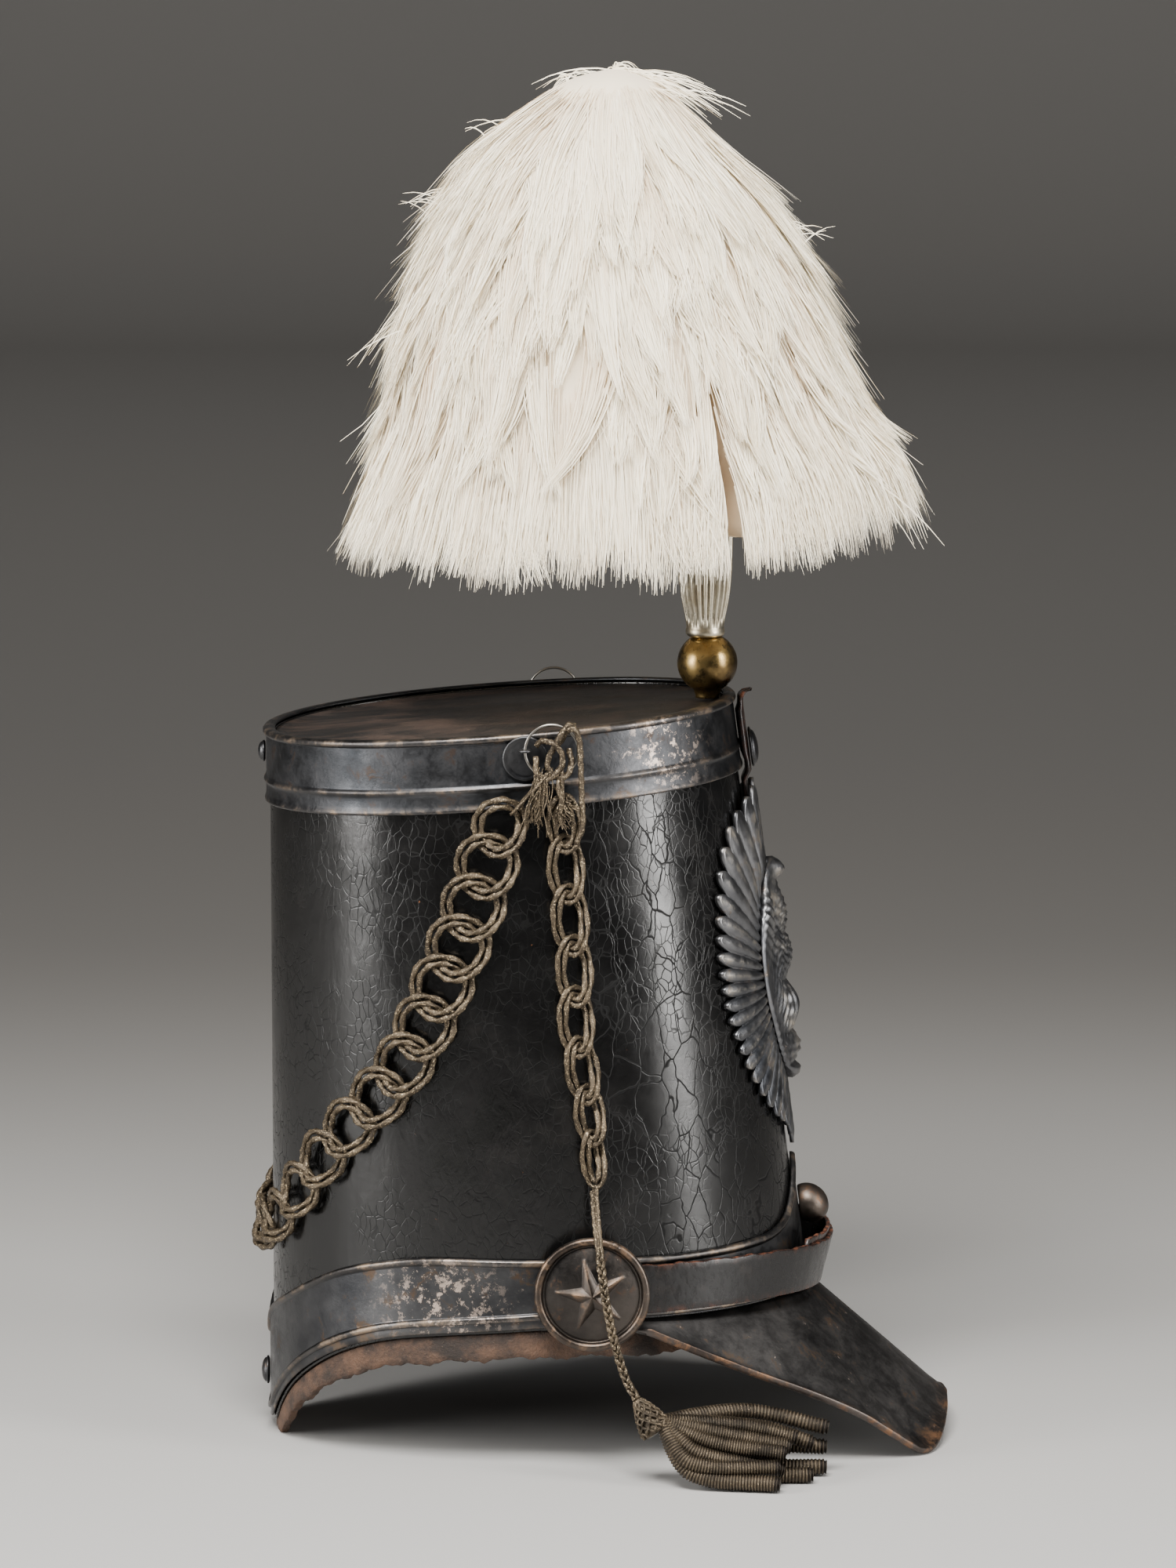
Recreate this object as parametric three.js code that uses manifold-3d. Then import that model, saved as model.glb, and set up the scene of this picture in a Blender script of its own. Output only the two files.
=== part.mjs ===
import * as THREE from 'three';
import { mergeVertices } from 'three/addons/utils/BufferGeometryUtils.js';
import Module from 'manifold-3d';

const wasm = await Module();
wasm.setup();
const { Manifold, Mesh: SolidMesh } = wasm;

// Millimetres. +X is the wearer's front, +Y the wearer's left, +Z up, the surface is z = 0.
const SHIFT_X = 1.4;           // sets the middle of the whole length at x = 0
// Driving sizes of the body
const FRONT_X_LOW = 80;        // front of the shell at LEVEL_LOW
const FRONT_X_HIGH = 48.3;     // front of the shell at LEVEL_HIGH
const BACK_X = -129.6;         // the back runs straight up
const HALF_WIDTH_LOW = 84.5;
const HALF_WIDTH_HIGH = 74;
const LEVEL_LOW = 50;
const LEVEL_HIGH = 290;
const OVAL_POWER = 2.1;
const SHELL_WALL = 2;
const GAP = 0.3;               // clearance between pieces that lie on each other
const ROUND = 32;              // steps round the head

// Crown
const RIM_BACK_Z = 277.6;
const RIM_SLOPE = 0.073;       // the rim climbs to the front
const CROWN_BAND_HEIGHT = 28.5;
const CROWN_SUNK = 3;
const CROWN_THICK = 2.4;
const CROWN_MIDDLE = -39;      // middle of the oval in x

// Metal bands
const SHEET = 1.2;
const BEAD = 2.5;
const BEAD_SIDE_Z = 61.6;      // middle of the base band's lower bead
const BEAD_NAPE_Z = 7;
const BEAD_MARGIN = 4.4;       // flat margin below that bead
const PEAK_MARGIN = 1.3;       // the same where the peak is sewn on
const BAND_SIDE_TOP = 83.5;
const BAND_NAPE_TOP = 39;
const FRONTLET_TOP = 108.5;
const SHELL_BELOW_BAND = 1.2;

// Sweat leather
const SWEAT_WALL = 2;
const SWEAT_SIDE_LOW = 45.4;
const SWEAT_HEIGHT = 34;
const FOOT_FLAT = 8;           // how far the nape's curve runs below the surface, which cuts it flat

// Peak
const PEAK_SHEET = 1.5;
const PEAK_BEAD = 1.5;
const PEAK_ARCH = 0.2;

// Stowed chin strap
const STRAP_WIDTH = 18.2;
const STRAP_THICK = 2;
const STRAP_LOW_Z = 62.7;
const STRAP_FRONT_SAG = 3.2;
const STRAP_OFF = BEAD + GAP + 0.2;

// Rosettes over the strap ends
const ROSETTE_R = 22.2;
const ROSETTE_X = -4.5;
const ROSETTE_Z = 71.8;

// Front plate
const PLATE_CENTRE_Z = 178;
const PLATE_RAYS = 26;
const PLATE_OFF = 1.3;
const PLATE_THICK = 0.9;
const RAY_RIDGE = 0.8;

// Relief on the plate
const RELIEF_CENTRE_Z = 182;
const RELIEF_BACK = 3.8;
const RELIEF_EDGE = 1.2;

// Tab and buttons
const TAB_HALF = 8.5;
const TAB_OFF = BEAD + GAP + 0.3;
const TAB_THICK = 2.2;
const FRONT_BUTTON_R = 7.8;
const BACK_BUTTON_R = 5.6;
const STUD_R = 7.8;
const STUD_OUT = 4.1;          // how far the ball's middle stands off the frontlet

// Rings for the cap line
const RING_R = 10;
const RING_WIRE = 0.55;
const RING_X = -19.8;
const RING_Z = 279;
const RING_OFF = 7.4;
const RING_BUTTON_R = 8.7;

// Plaited cap line
const DRAPE_OFF = 4.4;
const DRAPE_WIRE = 2.1;
const DROP_WIRE = 1.8;
const LINK_SIDES = 5;
const LINK_STEPS = 10;
const SEAM_TOLERANCE = 0.35;

// Plume
const PLUME_X = 39.7;
const BALL_R = 11.7;
const BALL_Z = 301.9;
const SOCKET_LOW_Z = 309.2;
const SOCKET_TOP_Z = 370;
const PLUME_STEPS = 25;

const black = material('black_leather', 0x14120f, 0.35, 0);
const crownLeather = material('crown_leather', 0x2a211a, 0.7, 0);
const brown = material('brown_leather', 0x5a4030, 0.9, 0);
const silver = material('tarnished_silver', 0x565452, 0.42, 0.85);
const brass = material('brass_ball', 0x8a6a35, 0.35, 0.9);
const paleSilver = material('socket_silver', 0xa9a18d, 0.4, 0.85);
const steel = material('ring_steel', 0x6b6862, 0.35, 0.9);
const bullion = material('bullion_cord', 0x5f584c, 0.75, 0.3);
const feather = material('white_feather', 0xf0eadb, 0.95, 0);

function material(name, color, roughness, metalness) {
  const made = new THREE.MeshStandardMaterial({ color, roughness, metalness });
  made.name = name;
  return made;
}

// Value at x in rows of [x, value], eased between the rows
function along(rows, x) {
  if (x <= rows[0][0]) return rows[0][1];
  for (let i = 1; i < rows.length; i++) {
    if (x > rows[i][0]) continue;
    const [x0, v0] = rows[i - 1];
    const [x1, v1] = rows[i];
    const s0 = i > 1 ? (v1 - rows[i - 2][1]) / (x1 - rows[i - 2][0]) : (v1 - v0) / (x1 - x0);
    const s1 = i + 1 < rows.length ? (rows[i + 1][1] - v0) / (rows[i + 1][0] - x0)
      : (v1 - v0) / (x1 - x0);
    const h = x1 - x0;
    const t = (x - x0) / h;
    const a = 2 * t ** 3 - 3 * t ** 2 + 1;
    const b = t ** 3 - 2 * t ** 2 + t;
    return a * v0 + b * h * s0 + (1 - a) * v1 + (t ** 3 - t ** 2) * h * s1;
  }
  return rows[rows.length - 1][1];
}

const rad = THREE.MathUtils.degToRad;
const signed = (v, p) => Math.sign(v) * Math.abs(v) ** p;
const smooth = (lo, hi, v) => THREE.MathUtils.smoothstep(v, lo, hi);

const riseAt = (z) => (z - LEVEL_LOW) / (LEVEL_HIGH - LEVEL_LOW);
const frontAt = (z) => FRONT_X_LOW + (FRONT_X_HIGH - FRONT_X_LOW) * riseAt(z);
const halfWidthAt = (z) => HALF_WIDTH_LOW + (HALF_WIDTH_HIGH - HALF_WIDTH_LOW) * riseAt(z);

// Point outside the shell: t is the angle from the front, off the distance from its face
function onHead(t, z, off) {
  const front = frontAt(z);
  const a = (front - BACK_X) / 2 + off;
  const b = halfWidthAt(z) + off;
  return [
    (front + BACK_X) / 2 + a * signed(Math.cos(t), 2 / OVAL_POWER),
    b * signed(Math.sin(t), 2 / OVAL_POWER),
    z,
  ];
}

// Angle round the head at which the face lies y from the middle, on the front half
function frontAngle(y, z, off) {
  const b = halfWidthAt(z) + off;
  return Math.asin(signed(THREE.MathUtils.clamp(y / b, -1, 1), OVAL_POWER / 2));
}

// Share of the nape drop at an angle away from the back
const NAPE = [
  // [degrees from the back, lower edge share, upper edge share]
  [0, 1, 1], [8, 0.93, 0.79], [14, 0.8, 0.68], [23, 0.6, 0.54], [34, 0.4, 0.36],
  [45, 0.24, 0.19], [56, 0.13, 0.08], [68, 0.065, 0.01], [90, 0, 0],
];
const NAPE_LOW = NAPE.map((row) => [row[0], row[1]]);
const NAPE_TOP = NAPE.map((row) => [row[0], row[2]]);
// Height share of the frontlet at an angle away from the front
const FRONTLET = [[0, 1], [5, 0.83], [9, 0.66], [14, 0.44], [20, 0.22], [28, 0.09], [38, 0.04], [60, 0]];

function degreesFromFront(t) {
  const d = Math.abs(THREE.MathUtils.radToDeg(t)) % 360;
  return d > 180 ? 360 - d : d;
}

const bandBead = (t) => BEAD_SIDE_Z
  - (BEAD_SIDE_Z - BEAD_NAPE_Z) * along(NAPE_LOW, 180 - degreesFromFront(t));
const bandMargin = (t) => PEAK_MARGIN + (BEAD_MARGIN - PEAK_MARGIN) * smooth(72, 88, degreesFromFront(t));
const bandLow = (t) => bandBead(t) - bandMargin(t);

function bandTop(t) {
  const d = degreesFromFront(t);
  const drop = (BAND_SIDE_TOP - BAND_NAPE_TOP) * along(NAPE_TOP, 180 - d);
  const lift = (FRONTLET_TOP - BAND_SIDE_TOP) * along(FRONTLET, d);
  return BAND_SIDE_TOP - drop + lift;
}

const sweatLow = (t) => Math.max(
  0, SWEAT_SIDE_LOW - (SWEAT_SIDE_LOW + FOOT_FLAT) * along(NAPE_LOW, 180 - degreesFromFront(t)));

const rimZ = (x) => RIM_BACK_Z + RIM_SLOPE * (x - BACK_X);
const rimAt = (t) => rimZ(onHead(t, 285, 0)[0]);

// Closed body from rings of equal length; `loop` joins the last ring to the first
function ringBody(rings, loop = false) {
  const n = rings[0].length;
  const points = rings.flat();
  const index = [];
  const last = loop ? rings.length : rings.length - 1;
  for (let i = 0; i < last; i++) {
    const a = i * n;
    const b = ((i + 1) % rings.length) * n;
    for (let k = 0; k < n; k++) {
      const k2 = (k + 1) % n;
      index.push(a + k, a + k2, b + k2, a + k, b + k2, b + k);
    }
  }
  if (!loop) {
    for (const [ring, flip] of [[0, true], [rings.length - 1, false]]) {
      const middle = [0, 0, 0];
      for (const p of rings[ring]) for (let c = 0; c < 3; c++) middle[c] += p[c] / n;
      const m = points.push(middle) - 1;
      for (let k = 0; k < n; k++) {
        const a = ring * n + k;
        const b = ring * n + ((k + 1) % n);
        if (flip) index.push(m, b, a);
        else index.push(m, a, b);
      }
    }
  }
  let volume = 0;
  for (let i = 0; i < index.length; i += 3) {
    const [a, b, c] = [points[index[i]], points[index[i + 1]], points[index[i + 2]]];
    volume += a[0] * (b[1] * c[2] - b[2] * c[1]) + a[1] * (b[2] * c[0] - b[0] * c[2])
      + a[2] * (b[0] * c[1] - b[1] * c[0]);
  }
  if (volume < 0) for (let i = 0; i < index.length; i += 3) index.splice(i, 3, index[i], index[i + 2], index[i + 1]);
  const geometry = new THREE.BufferGeometry();
  geometry.setAttribute('position', new THREE.Float32BufferAttribute(points.flat(), 3));
  geometry.setIndex(index);
  return geometry;
}

function toSolid(geometry) {
  const bare = geometry.clone();
  for (const name of Object.keys(bare.attributes)) if (name !== 'position') bare.deleteAttribute(name);
  const merged = mergeVertices(bare, 1e-4);
  return new Manifold(new SolidMesh({
    numProp: 3,
    vertProperties: new Float32Array(merged.attributes.position.array),
    triVerts: new Uint32Array(merged.index.array),
  }));
}

function fuse(geometries) {
  const mesh = Manifold.union(geometries.map(toSolid)).asOriginal().simplify(SEAM_TOLERANCE).getMesh();
  const geometry = new THREE.BufferGeometry();
  const positions = [];
  for (let i = 0; i < mesh.numVert; i++) {
    for (let c = 0; c < 3; c++) positions.push(mesh.vertProperties[i * mesh.numProp + c]);
  }
  geometry.setAttribute('position', new THREE.Float32BufferAttribute(positions, 3));
  geometry.setIndex(Array.from(mesh.triVerts));
  return geometry;
}

const hat = new THREE.Group();
hat.name = 'shako';

function add(name, geometry, made) {
  geometry.translate(SHIFT_X, 0, 0);
  geometry.computeVertexNormals();
  const mesh = new THREE.Mesh(geometry, made);
  mesh.name = name;
  hat.add(mesh);
  return mesh;
}

// Wall round the whole head; profile(t) gives [off, z] corners of its section
function roundHead(profile, steps = ROUND) {
  const rings = [];
  for (let i = 0; i < steps; i++) {
    const t = (i / steps) * Math.PI * 2;
    rings.push(profile(t).map(([off, z]) => onHead(t, z, off)));
  }
  return ringBody(rings, true);
}

// Wall along part of the head between two angles
function alongHead(from, to, steps, profile) {
  const rings = [];
  for (let i = 0; i <= steps; i++) {
    const t = from + (to - from) * (i / steps);
    rings.push(profile(t, i / steps).map(([off, z]) => onHead(t, z, off)));
  }
  return ringBody(rings);
}

// Turned body: rows of [radius, distance along the axis] from one end to the other
function turned(rows, steps, place, wobble = () => 1) {
  return ringBody(rows.map(([r, h]) => {
    const ring = [];
    for (let k = 0; k < steps; k++) {
      const a = (k / steps) * Math.PI * 2;
      const rr = r * wobble(a, h, k);
      ring.push(place(rr * Math.cos(a), rr * Math.sin(a), h));
    }
    return ring;
  }));
}

function ballRows(r, centre, from, to, steps) {
  const rows = [];
  for (let i = 0; i <= steps; i++) {
    const a = rad(from + (to - from) * (i / steps));
    rows.push([Math.max(0.15, r * Math.cos(a)), centre + r * Math.sin(a)]);
  }
  return rows;
}

// Shell of the body
add('shell', roundHead((t) => {
  const low = bandLow(t) - SHELL_BELOW_BAND;
  const top = rimAt(t) - 1.6;
  return [[0, low], [0, top], [-SHELL_WALL, top], [-SHELL_WALL, low]];
}), black);

// Top of the crown, a disc let in below the rim
{
  const off = -SHELL_WALL - GAP;
  const ringAt = (share, sink) => {
    const ring = [];
    for (let i = 0; i < ROUND; i++) {
      const t = (i / ROUND) * Math.PI * 2;
      const edge = onHead(t, rimAt(t) - CROWN_SUNK + 1, off);
      const x = CROWN_MIDDLE + (edge[0] - CROWN_MIDDLE) * share;
      ring.push([x, edge[1] * share, rimZ(x) - sink]);
    }
    return ring;
  };
  add('crown_top', ringBody([
    ringAt(0.6, CROWN_SUNK - 0.5), ringAt(1, CROWN_SUNK - 0.6),
    ringAt(0.995, CROWN_SUNK + CROWN_THICK),
  ]), crownLeather);
}

// Band round the crown: a rolled rim, a plain wall, a bead and a splayed skirt
add('crown_band', roundHead((t) => {
  const top = rimAt(t);
  const low = top - CROWN_BAND_HEIGHT;
  return [
    [GAP, low], [GAP + 1.6, low - 0.2], [BEAD - 0.9, low + 6.8], [BEAD, low + 8.4],
    [GAP + SHEET, low + 10], [GAP + SHEET, top - 2.8], [BEAD, top - 1.2],
    [-SHELL_WALL + 0.2, top], [-SHELL_WALL + 0.2, top - 1.2], [GAP, top - 1.3],
  ];
}), silver);

// Band round the foot with the frontlet rising to a point at the front
add('base_band', roundHead((t) => {
  const low = bandLow(t);
  const bead = bandBead(t);
  const top = bandTop(t);
  return [
    [GAP, low], [GAP + SHEET, low - 0.3], [GAP + SHEET, bead - Math.min(1.7, bandMargin(t) - 0.2)],
    [BEAD, bead], [GAP + SHEET, bead + 1.7],
    [GAP + SHEET, top - 3], [BEAD, top - 1.2], [GAP + SHEET * 0.5, top + 0.2],
  ];
}, ROUND * 1.25), silver);

// Sweat leather inside the foot, its worn edge hanging below the shell
add('sweat_leather', roundHead((t) => {
  const low = sweatLow(t);
  const hem = bandLow(t) - SHELL_BELOW_BAND - GAP - 0.2;
  const top = Math.max(hem + 6, low + SWEAT_HEIGHT);
  const inner = -SHELL_WALL - GAP - SWEAT_WALL;
  return [
    [inner, low], [-0.8, low], [-0.8, hem], [-SHELL_WALL - GAP, hem + 0.1],
    [-SHELL_WALL - GAP - 0.2, top],
  ];
}), brown);

// Peak: [degrees from the front, edge x and y as shares of the front's reach and the half width, edge z]
const PEAK_EDGE = [
  [0, 1.685, 0, 12.2], [6, 1.675, 0.225, 9.8], [12, 1.643, 0.438, 4.9], [17, 1.595, 0.58, 1.7],
  [22, 1.53, 0.663, 2.5], [28, 1.413, 0.746, 9.6], [36, 1.238, 0.822, 19.6], [46, 1, 0.892, 29.2],
  [57, 0.725, 0.951, 38.4], [68, 0.45, 0.993, 48], [78, 0.225, 1.02, 56.2],
];
const peakEdge = (d) => [1, 2, 3].map((c) => (
  along(PEAK_EDGE.map((row) => [row[0], row[c]]), d) * [1, FRONT_X_LOW, HALF_WIDTH_LOW, 1][c]));
{
  const rings = [];
  const steps = 24;
  for (let i = 0; i <= steps; i++) {
    const share = (i / steps) * 2 - 1;
    const d = Math.abs(share) * 78;
    const t = rad(78 * share);
    const [ex, ey, ez] = peakEdge(d);
    const edge = [ex, Math.sign(share) * ey, ez];
    const rootZ = bandLow(t) - 0.8;
    const root = onHead(t, rootZ, GAP + 0.1);
    const out = [edge[0] - root[0], edge[1] - root[1]];
    const run = Math.hypot(...out) || 1;
    const o = [out[0] / run, out[1] / run];
    const slope = (edge[2] - root[2]) / run;
    const len = Math.hypot(1, slope);
    const n = [-slope / len * o[0], -slope / len * o[1], 1 / len];
    const at = (s, lift) => {
      const arch = PEAK_ARCH * Math.sin(Math.PI * s) * Math.min(1, run / 30);
      return [0, 1, 2].map((c) => root[c] + (edge[c] - root[c]) * s + n[c] * (lift + arch));
    };
    const e = (u, v) => [edge[0] + o[0] * u + n[0] * v, edge[1] + o[1] * u + n[1] * v,
      edge[2] + n[2] * v + slope * u / len];
    const small = run < 6;
    const q = small ? 0.5 : 1;
    rings.push([
      root, at(0.5, 0), e(-1.6 * q, 0),
      e(-0.4 * q, PEAK_BEAD * 0.7), e(0.9 * q, 0), e(0.5 * q, -PEAK_BEAD),
      e(-1.7 * q, -PEAK_SHEET), at(0.5, -PEAK_SHEET),
      [root[0] + 0.2 * o[0], root[1] + 0.2 * o[1], root[2] - 2],
    ].map(([x, y, z]) => [x, y, Math.max(0, z)]));
  }
  add('peak', ringBody(rings), silver);
}

// Chin strap stowed across the front, doubled behind its outer run
{
  const flare = (d) => along([[0, 1], [12, 0.93], [24, 0.72], [36, 0.42], [50, 0.14], [64, 0]], d);
  const outer = alongHead(rad(-84), rad(84), 24, (t) => {
    const d = degreesFromFront(t);
    const f = flare(d);
    const low = STRAP_LOW_Z - STRAP_FRONT_SAG * f ** 2;
    const top = low + STRAP_WIDTH;
    const offLow = STRAP_OFF + 2.1 * f;
    const offTop = STRAP_OFF + 8.8 * f;
    return [[offLow, low], [offLow + STRAP_THICK, low], [offTop + STRAP_THICK, top], [offTop, top]];
  });
  // The inner layer leans against the outer one and stands above it
  const inner = alongHead(rad(-21), rad(21), 6, (t) => {
    const f = flare(degreesFromFront(t));
    const low = STRAP_LOW_Z + 0.8 - STRAP_FRONT_SAG * f ** 2;
    const top = low + STRAP_WIDTH + 1.8;
    const offLow = STRAP_OFF + 2.1 * f;
    const offTop = STRAP_OFF + 8.8 * f * (top - low) / STRAP_WIDTH;
    return [[offLow - 1.4, low], [offLow + 0.7, low], [offTop + 0.7, top], [offTop - 1.4, top]];
  });
  add('chin_strap', fuse([outer, inner]), black);
}

// Rosettes: rolled rim, dome and a five-pointed ridged star
function rosette(side) {
  const steps = 20;
  const [inner, tip, rim] = [0.21, 0.68, 0.8].map((share) => share * ROSETTE_R);
  const face = halfWidthAt(STRAP_LOW_Z) + STRAP_OFF + STRAP_THICK + GAP;
  const star = (a) => {
    const five = (a / (Math.PI * 2)) * 5;
    const near = Math.abs(five - Math.round(five)) * 2;
    return inner + (tip - inner) * (1 - near);
  };
  const turn = rad(31);
  const height = (r, a) => {
    const dome = 3.6 * (1 - (r / rim) ** 2);
    return dome + 2.4 * Math.max(0, 1 - r / star(a - turn));
  };
  const ring = (r, lift, free) => {
    const made = [];
    for (let k = 0; k < steps; k++) {
      const a = turn + (k / steps) * Math.PI * 2;
      const h = lift + (free ? height(r, a) : 0);
      made.push([ROSETTE_X + r * Math.cos(a), side * (face + h), ROSETTE_Z + r * Math.sin(a)]);
    }
    return made;
  };
  return ringBody([
    ring(0.4, 1.6, true), ring(inner, 1.6, true), ring(tip, 1.6, true), ring(rim, 1.4, false),
    ring(ROSETTE_R * 0.91, 3, false), ring(ROSETTE_R, 1.2, false), ring(ROSETTE_R - 0.8, 0, false),
  ]);
}
add('rosette_right', rosette(-1), silver);
add('rosette_left', rosette(1), silver);

// Ball stud in the frontlet
{
  const z = FRONTLET_TOP - 20.4;
  const rows = [[STUD_R * 0.84, GAP], ...ballRows(STUD_R, STUD_OUT, -26, 84, 6)];
  add('frontlet_stud', turned(rows, 12, (u, v, h) => [onHead(0, z + v, GAP + SHEET)[0] + h, u, z + v]), silver);
}

// Tab over the crown band at the front with a torn tongue at its top
{
  const rim = rimZ(FRONT_X_HIGH);
  const row = (below, lean, half, thick) => {
    const z = rim - below;
    const face = onHead(0, z, 0)[0];
    return [
      [face + lean, -half, z], [face + lean, half, z],
      [face + lean + thick, half, z], [face + lean + thick, -half, z],
    ];
  };
  const skirt = CROWN_BAND_HEIGHT + 1.6;
  add('front_tab', ringBody([
    row(skirt + 26.5, GAP + 0.4, TAB_HALF, TAB_THICK), row(skirt + 3.5, GAP + 0.4, TAB_HALF, TAB_THICK),
    row(skirt, TAB_OFF, TAB_HALF, TAB_THICK), row(3.5, TAB_OFF, TAB_HALF, TAB_THICK),
    row(0.6, TAB_OFF + 1, TAB_HALF * 0.7, TAB_THICK),
    row(-1, TAB_OFF + 4.4, TAB_HALF * 0.4, TAB_THICK),
  ]), black);
}

// Domed buttons: front of the tab, and two at the back on the bands
function button(name, r, domed, place) {
  const rows = [[r * 0.85, 0], [r, 0.8], [r * 0.75, 1.1 + domed * 0.55], [r * 0.3, 1.1 + domed]];
  add(name, turned(rows, 10, place), silver);
}
{
  const z = rimZ(FRONT_X_HIGH) - 21.6;
  const face = onHead(0, z, TAB_OFF + TAB_THICK + GAP)[0];
  const lean = (FRONT_X_LOW - FRONT_X_HIGH) / (LEVEL_HIGH - LEVEL_LOW);
  button('front_button', FRONT_BUTTON_R, 2.2, (u, v, h) => [face + h - v * lean, u, z + v]);
  const topZ = RIM_BACK_Z - 10.2;
  const back = onHead(Math.PI, topZ, GAP + SHEET + GAP)[0] - 0.1;
  button('back_button_top', BACK_BUTTON_R - 1.4, 1.7, (u, v, h) => [back - h, u, topZ + v]);
  button('back_button_low', BACK_BUTTON_R, 2, (u, v, h) => [back - h, u, BEAD_NAPE_Z + 14 + v]);
}

// Rayed plate wrapped round the front
const PLATE_OUTLINE = [
  // [degrees from straight up, radius of the ray tips]
  [0, 79], [16, 76], [30, 73], [42, 66], [56, 57.5], [75, 51.5], [95, 49.5], [115, 50.5],
  [135, 54], [152, 57], [166, 58], [180, 66],
];
const plateLift = (y, z) => PLATE_OFF + 2.6 * smooth(212, 226, z) * (1 - smooth(12, 28, Math.abs(y)));
{
  const steps = PLATE_RAYS * 2;
  const ring = (share, lift, ridged) => {
    const made = [];
    for (let k = 0; k < steps; k++) {
      const a = (k / steps) * Math.PI * 2;
      const d = k / steps * 360;
      const tip = k % 2 === 0;
      const reach = along(PLATE_OUTLINE, d > 180 ? 360 - d : d) * (tip ? 1 : 1 - 0.085 * share);
      const y = reach * share * Math.sin(a);
      const z = PLATE_CENTRE_Z + reach * share * Math.cos(a);
      const off = plateLift(y, z) + lift + (ridged && tip ? RAY_RIDGE : 0);
      made.push(onHead(frontAngle(y, z, off), z, off));
    }
    return made;
  };
  add('plate_rays', ringBody([
    ring(0.3, PLATE_THICK, false), ring(0.62, PLATE_THICK, true), ring(0.88, PLATE_THICK, true),
    ring(1, PLATE_THICK * 0.8, false), ring(0.995, 0, false), ring(0.66, 0, false), ring(0.36, 0, false),
  ]), silver);
}

// Relief: an eagle over a shield
const RELIEF_OUTLINE = [
  // [degrees from straight up, radius]
  [0, 44], [14, 40], [24, 34], [40, 31], [60, 28], [90, 26], [120, 27.5], [140, 31], [160, 38],
  [180, 44],
];
const RELIEF_BUMPS = [
  // [y, z, spread y, spread z, height]
  [0, 205, 9, 15, 6.6], [15, 206, 8, 14, 2.4], [-15, 206, 8, 14, 2.4], [0, 221, 4.5, 5, 6.2],
  [0, 189, 10, 13, 6.8], [0, 168, 11, 11, 6.6], [0, 152, 9, 7, 5.6], [0, 142, 9, 4, 4.4],
  [13, 172, 5, 12, 1.6], [-13, 172, 5, 12, 1.6],
];
{
  const steps = 22;
  const bump = (y, z) => RELIEF_BUMPS.reduce((sum, [by, bz, sy, sz, h]) => Math.max(
    sum, h * Math.exp(-(((y - by) / sy) ** 2) - ((z - bz) / sz) ** 2)), 0);
  const ring = (share, kind) => {
    const made = [];
    for (let k = 0; k < steps; k++) {
      const a = (k / steps) * Math.PI * 2;
      const d = k / steps * 360;
      const reach = along(RELIEF_OUTLINE, d > 180 ? 360 - d : d);
      const y = reach * share * Math.sin(a);
      const z = RELIEF_CENTRE_Z + reach * share * Math.cos(a);
      const off = kind === 'back' ? RELIEF_BACK : RELIEF_BACK + RELIEF_EDGE + bump(y, z);
      const rise = plateLift(y, z) - PLATE_OFF;
      made.push(onHead(frontAngle(y, z, off), z, off + rise));
    }
    return made;
  };
  add('plate_relief', ringBody([
    ring(0.12, 'face'), ring(0.34, 'face'), ring(0.56, 'face'), ring(0.78, 'face'),
    ring(0.94, 'face'), ring(1, 'face'), ring(0.995, 'back'), ring(0.45, 'back'),
  ]), silver);
}

// Rings for the cap line, each through the eye of a disc button
function ringFor(side) {
  const face = Math.abs(onHead(rad(90), RING_Z, RING_OFF)[1]);
  const rings = [];
  for (let i = 0; i < 12; i++) {
    const a = (i / 12) * Math.PI * 2;
    const ring = [];
    for (let k = 0; k < 5; k++) {
      const b = (k / 5) * Math.PI * 2;
      const r = RING_R + RING_WIRE * Math.cos(b);
      ring.push([RING_X + r * Math.cos(a), side * (face + RING_WIRE * Math.sin(b)), RING_Z + r * Math.sin(a)]);
    }
    rings.push(ring);
  }
  return ringBody(rings, true);
}

function ringButton(side) {
  const x = RING_X - RING_R;
  const z = RING_Z - 3.6;
  const face = Math.abs(onHead(rad(96), RING_Z, GAP + SHEET + GAP + 0.2)[1]) + 0.5;
  const place = (u, v, h) => [x + u, side * (face + h), z + v];
  const disc = turned([[RING_BUTTON_R - 0.5, 0], [RING_BUTTON_R, 0.5], [RING_BUTTON_R - 0.4, 1.1],
    [RING_BUTTON_R - 1.8, 1.5]], 12, place);
  const eyeY = Math.abs(onHead(rad(90), RING_Z, RING_OFF)[1]);
  const rings = [];
  for (let i = 0; i < 10; i++) {
    const a = (i / 10) * Math.PI * 2;
    const ring = [];
    for (let k = 0; k < 5; k++) {
      const b = (k / 5) * Math.PI * 2;
      const r = 1.9 + 0.6 * Math.cos(b);
      ring.push([x + r * Math.cos(a), side * (eyeY + r * Math.sin(a)), RING_Z + 0.6 * Math.sin(b)]);
    }
    rings.push(ring);
  }
  const stem = turned([[1.1, 1], [1.1, eyeY - face - 1.7]], 6, (u, v, h) => [x + u, side * (face + h), RING_Z + v]);
  return fuse([disc, ringBody(rings, true), stem]);
}
for (const [name, side] of [['right', -1], ['left', 1]]) {
  add(`ring_${name}`, ringFor(side), steel);
  add(`ring_button_${name}`, ringButton(side), silver);
}

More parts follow.
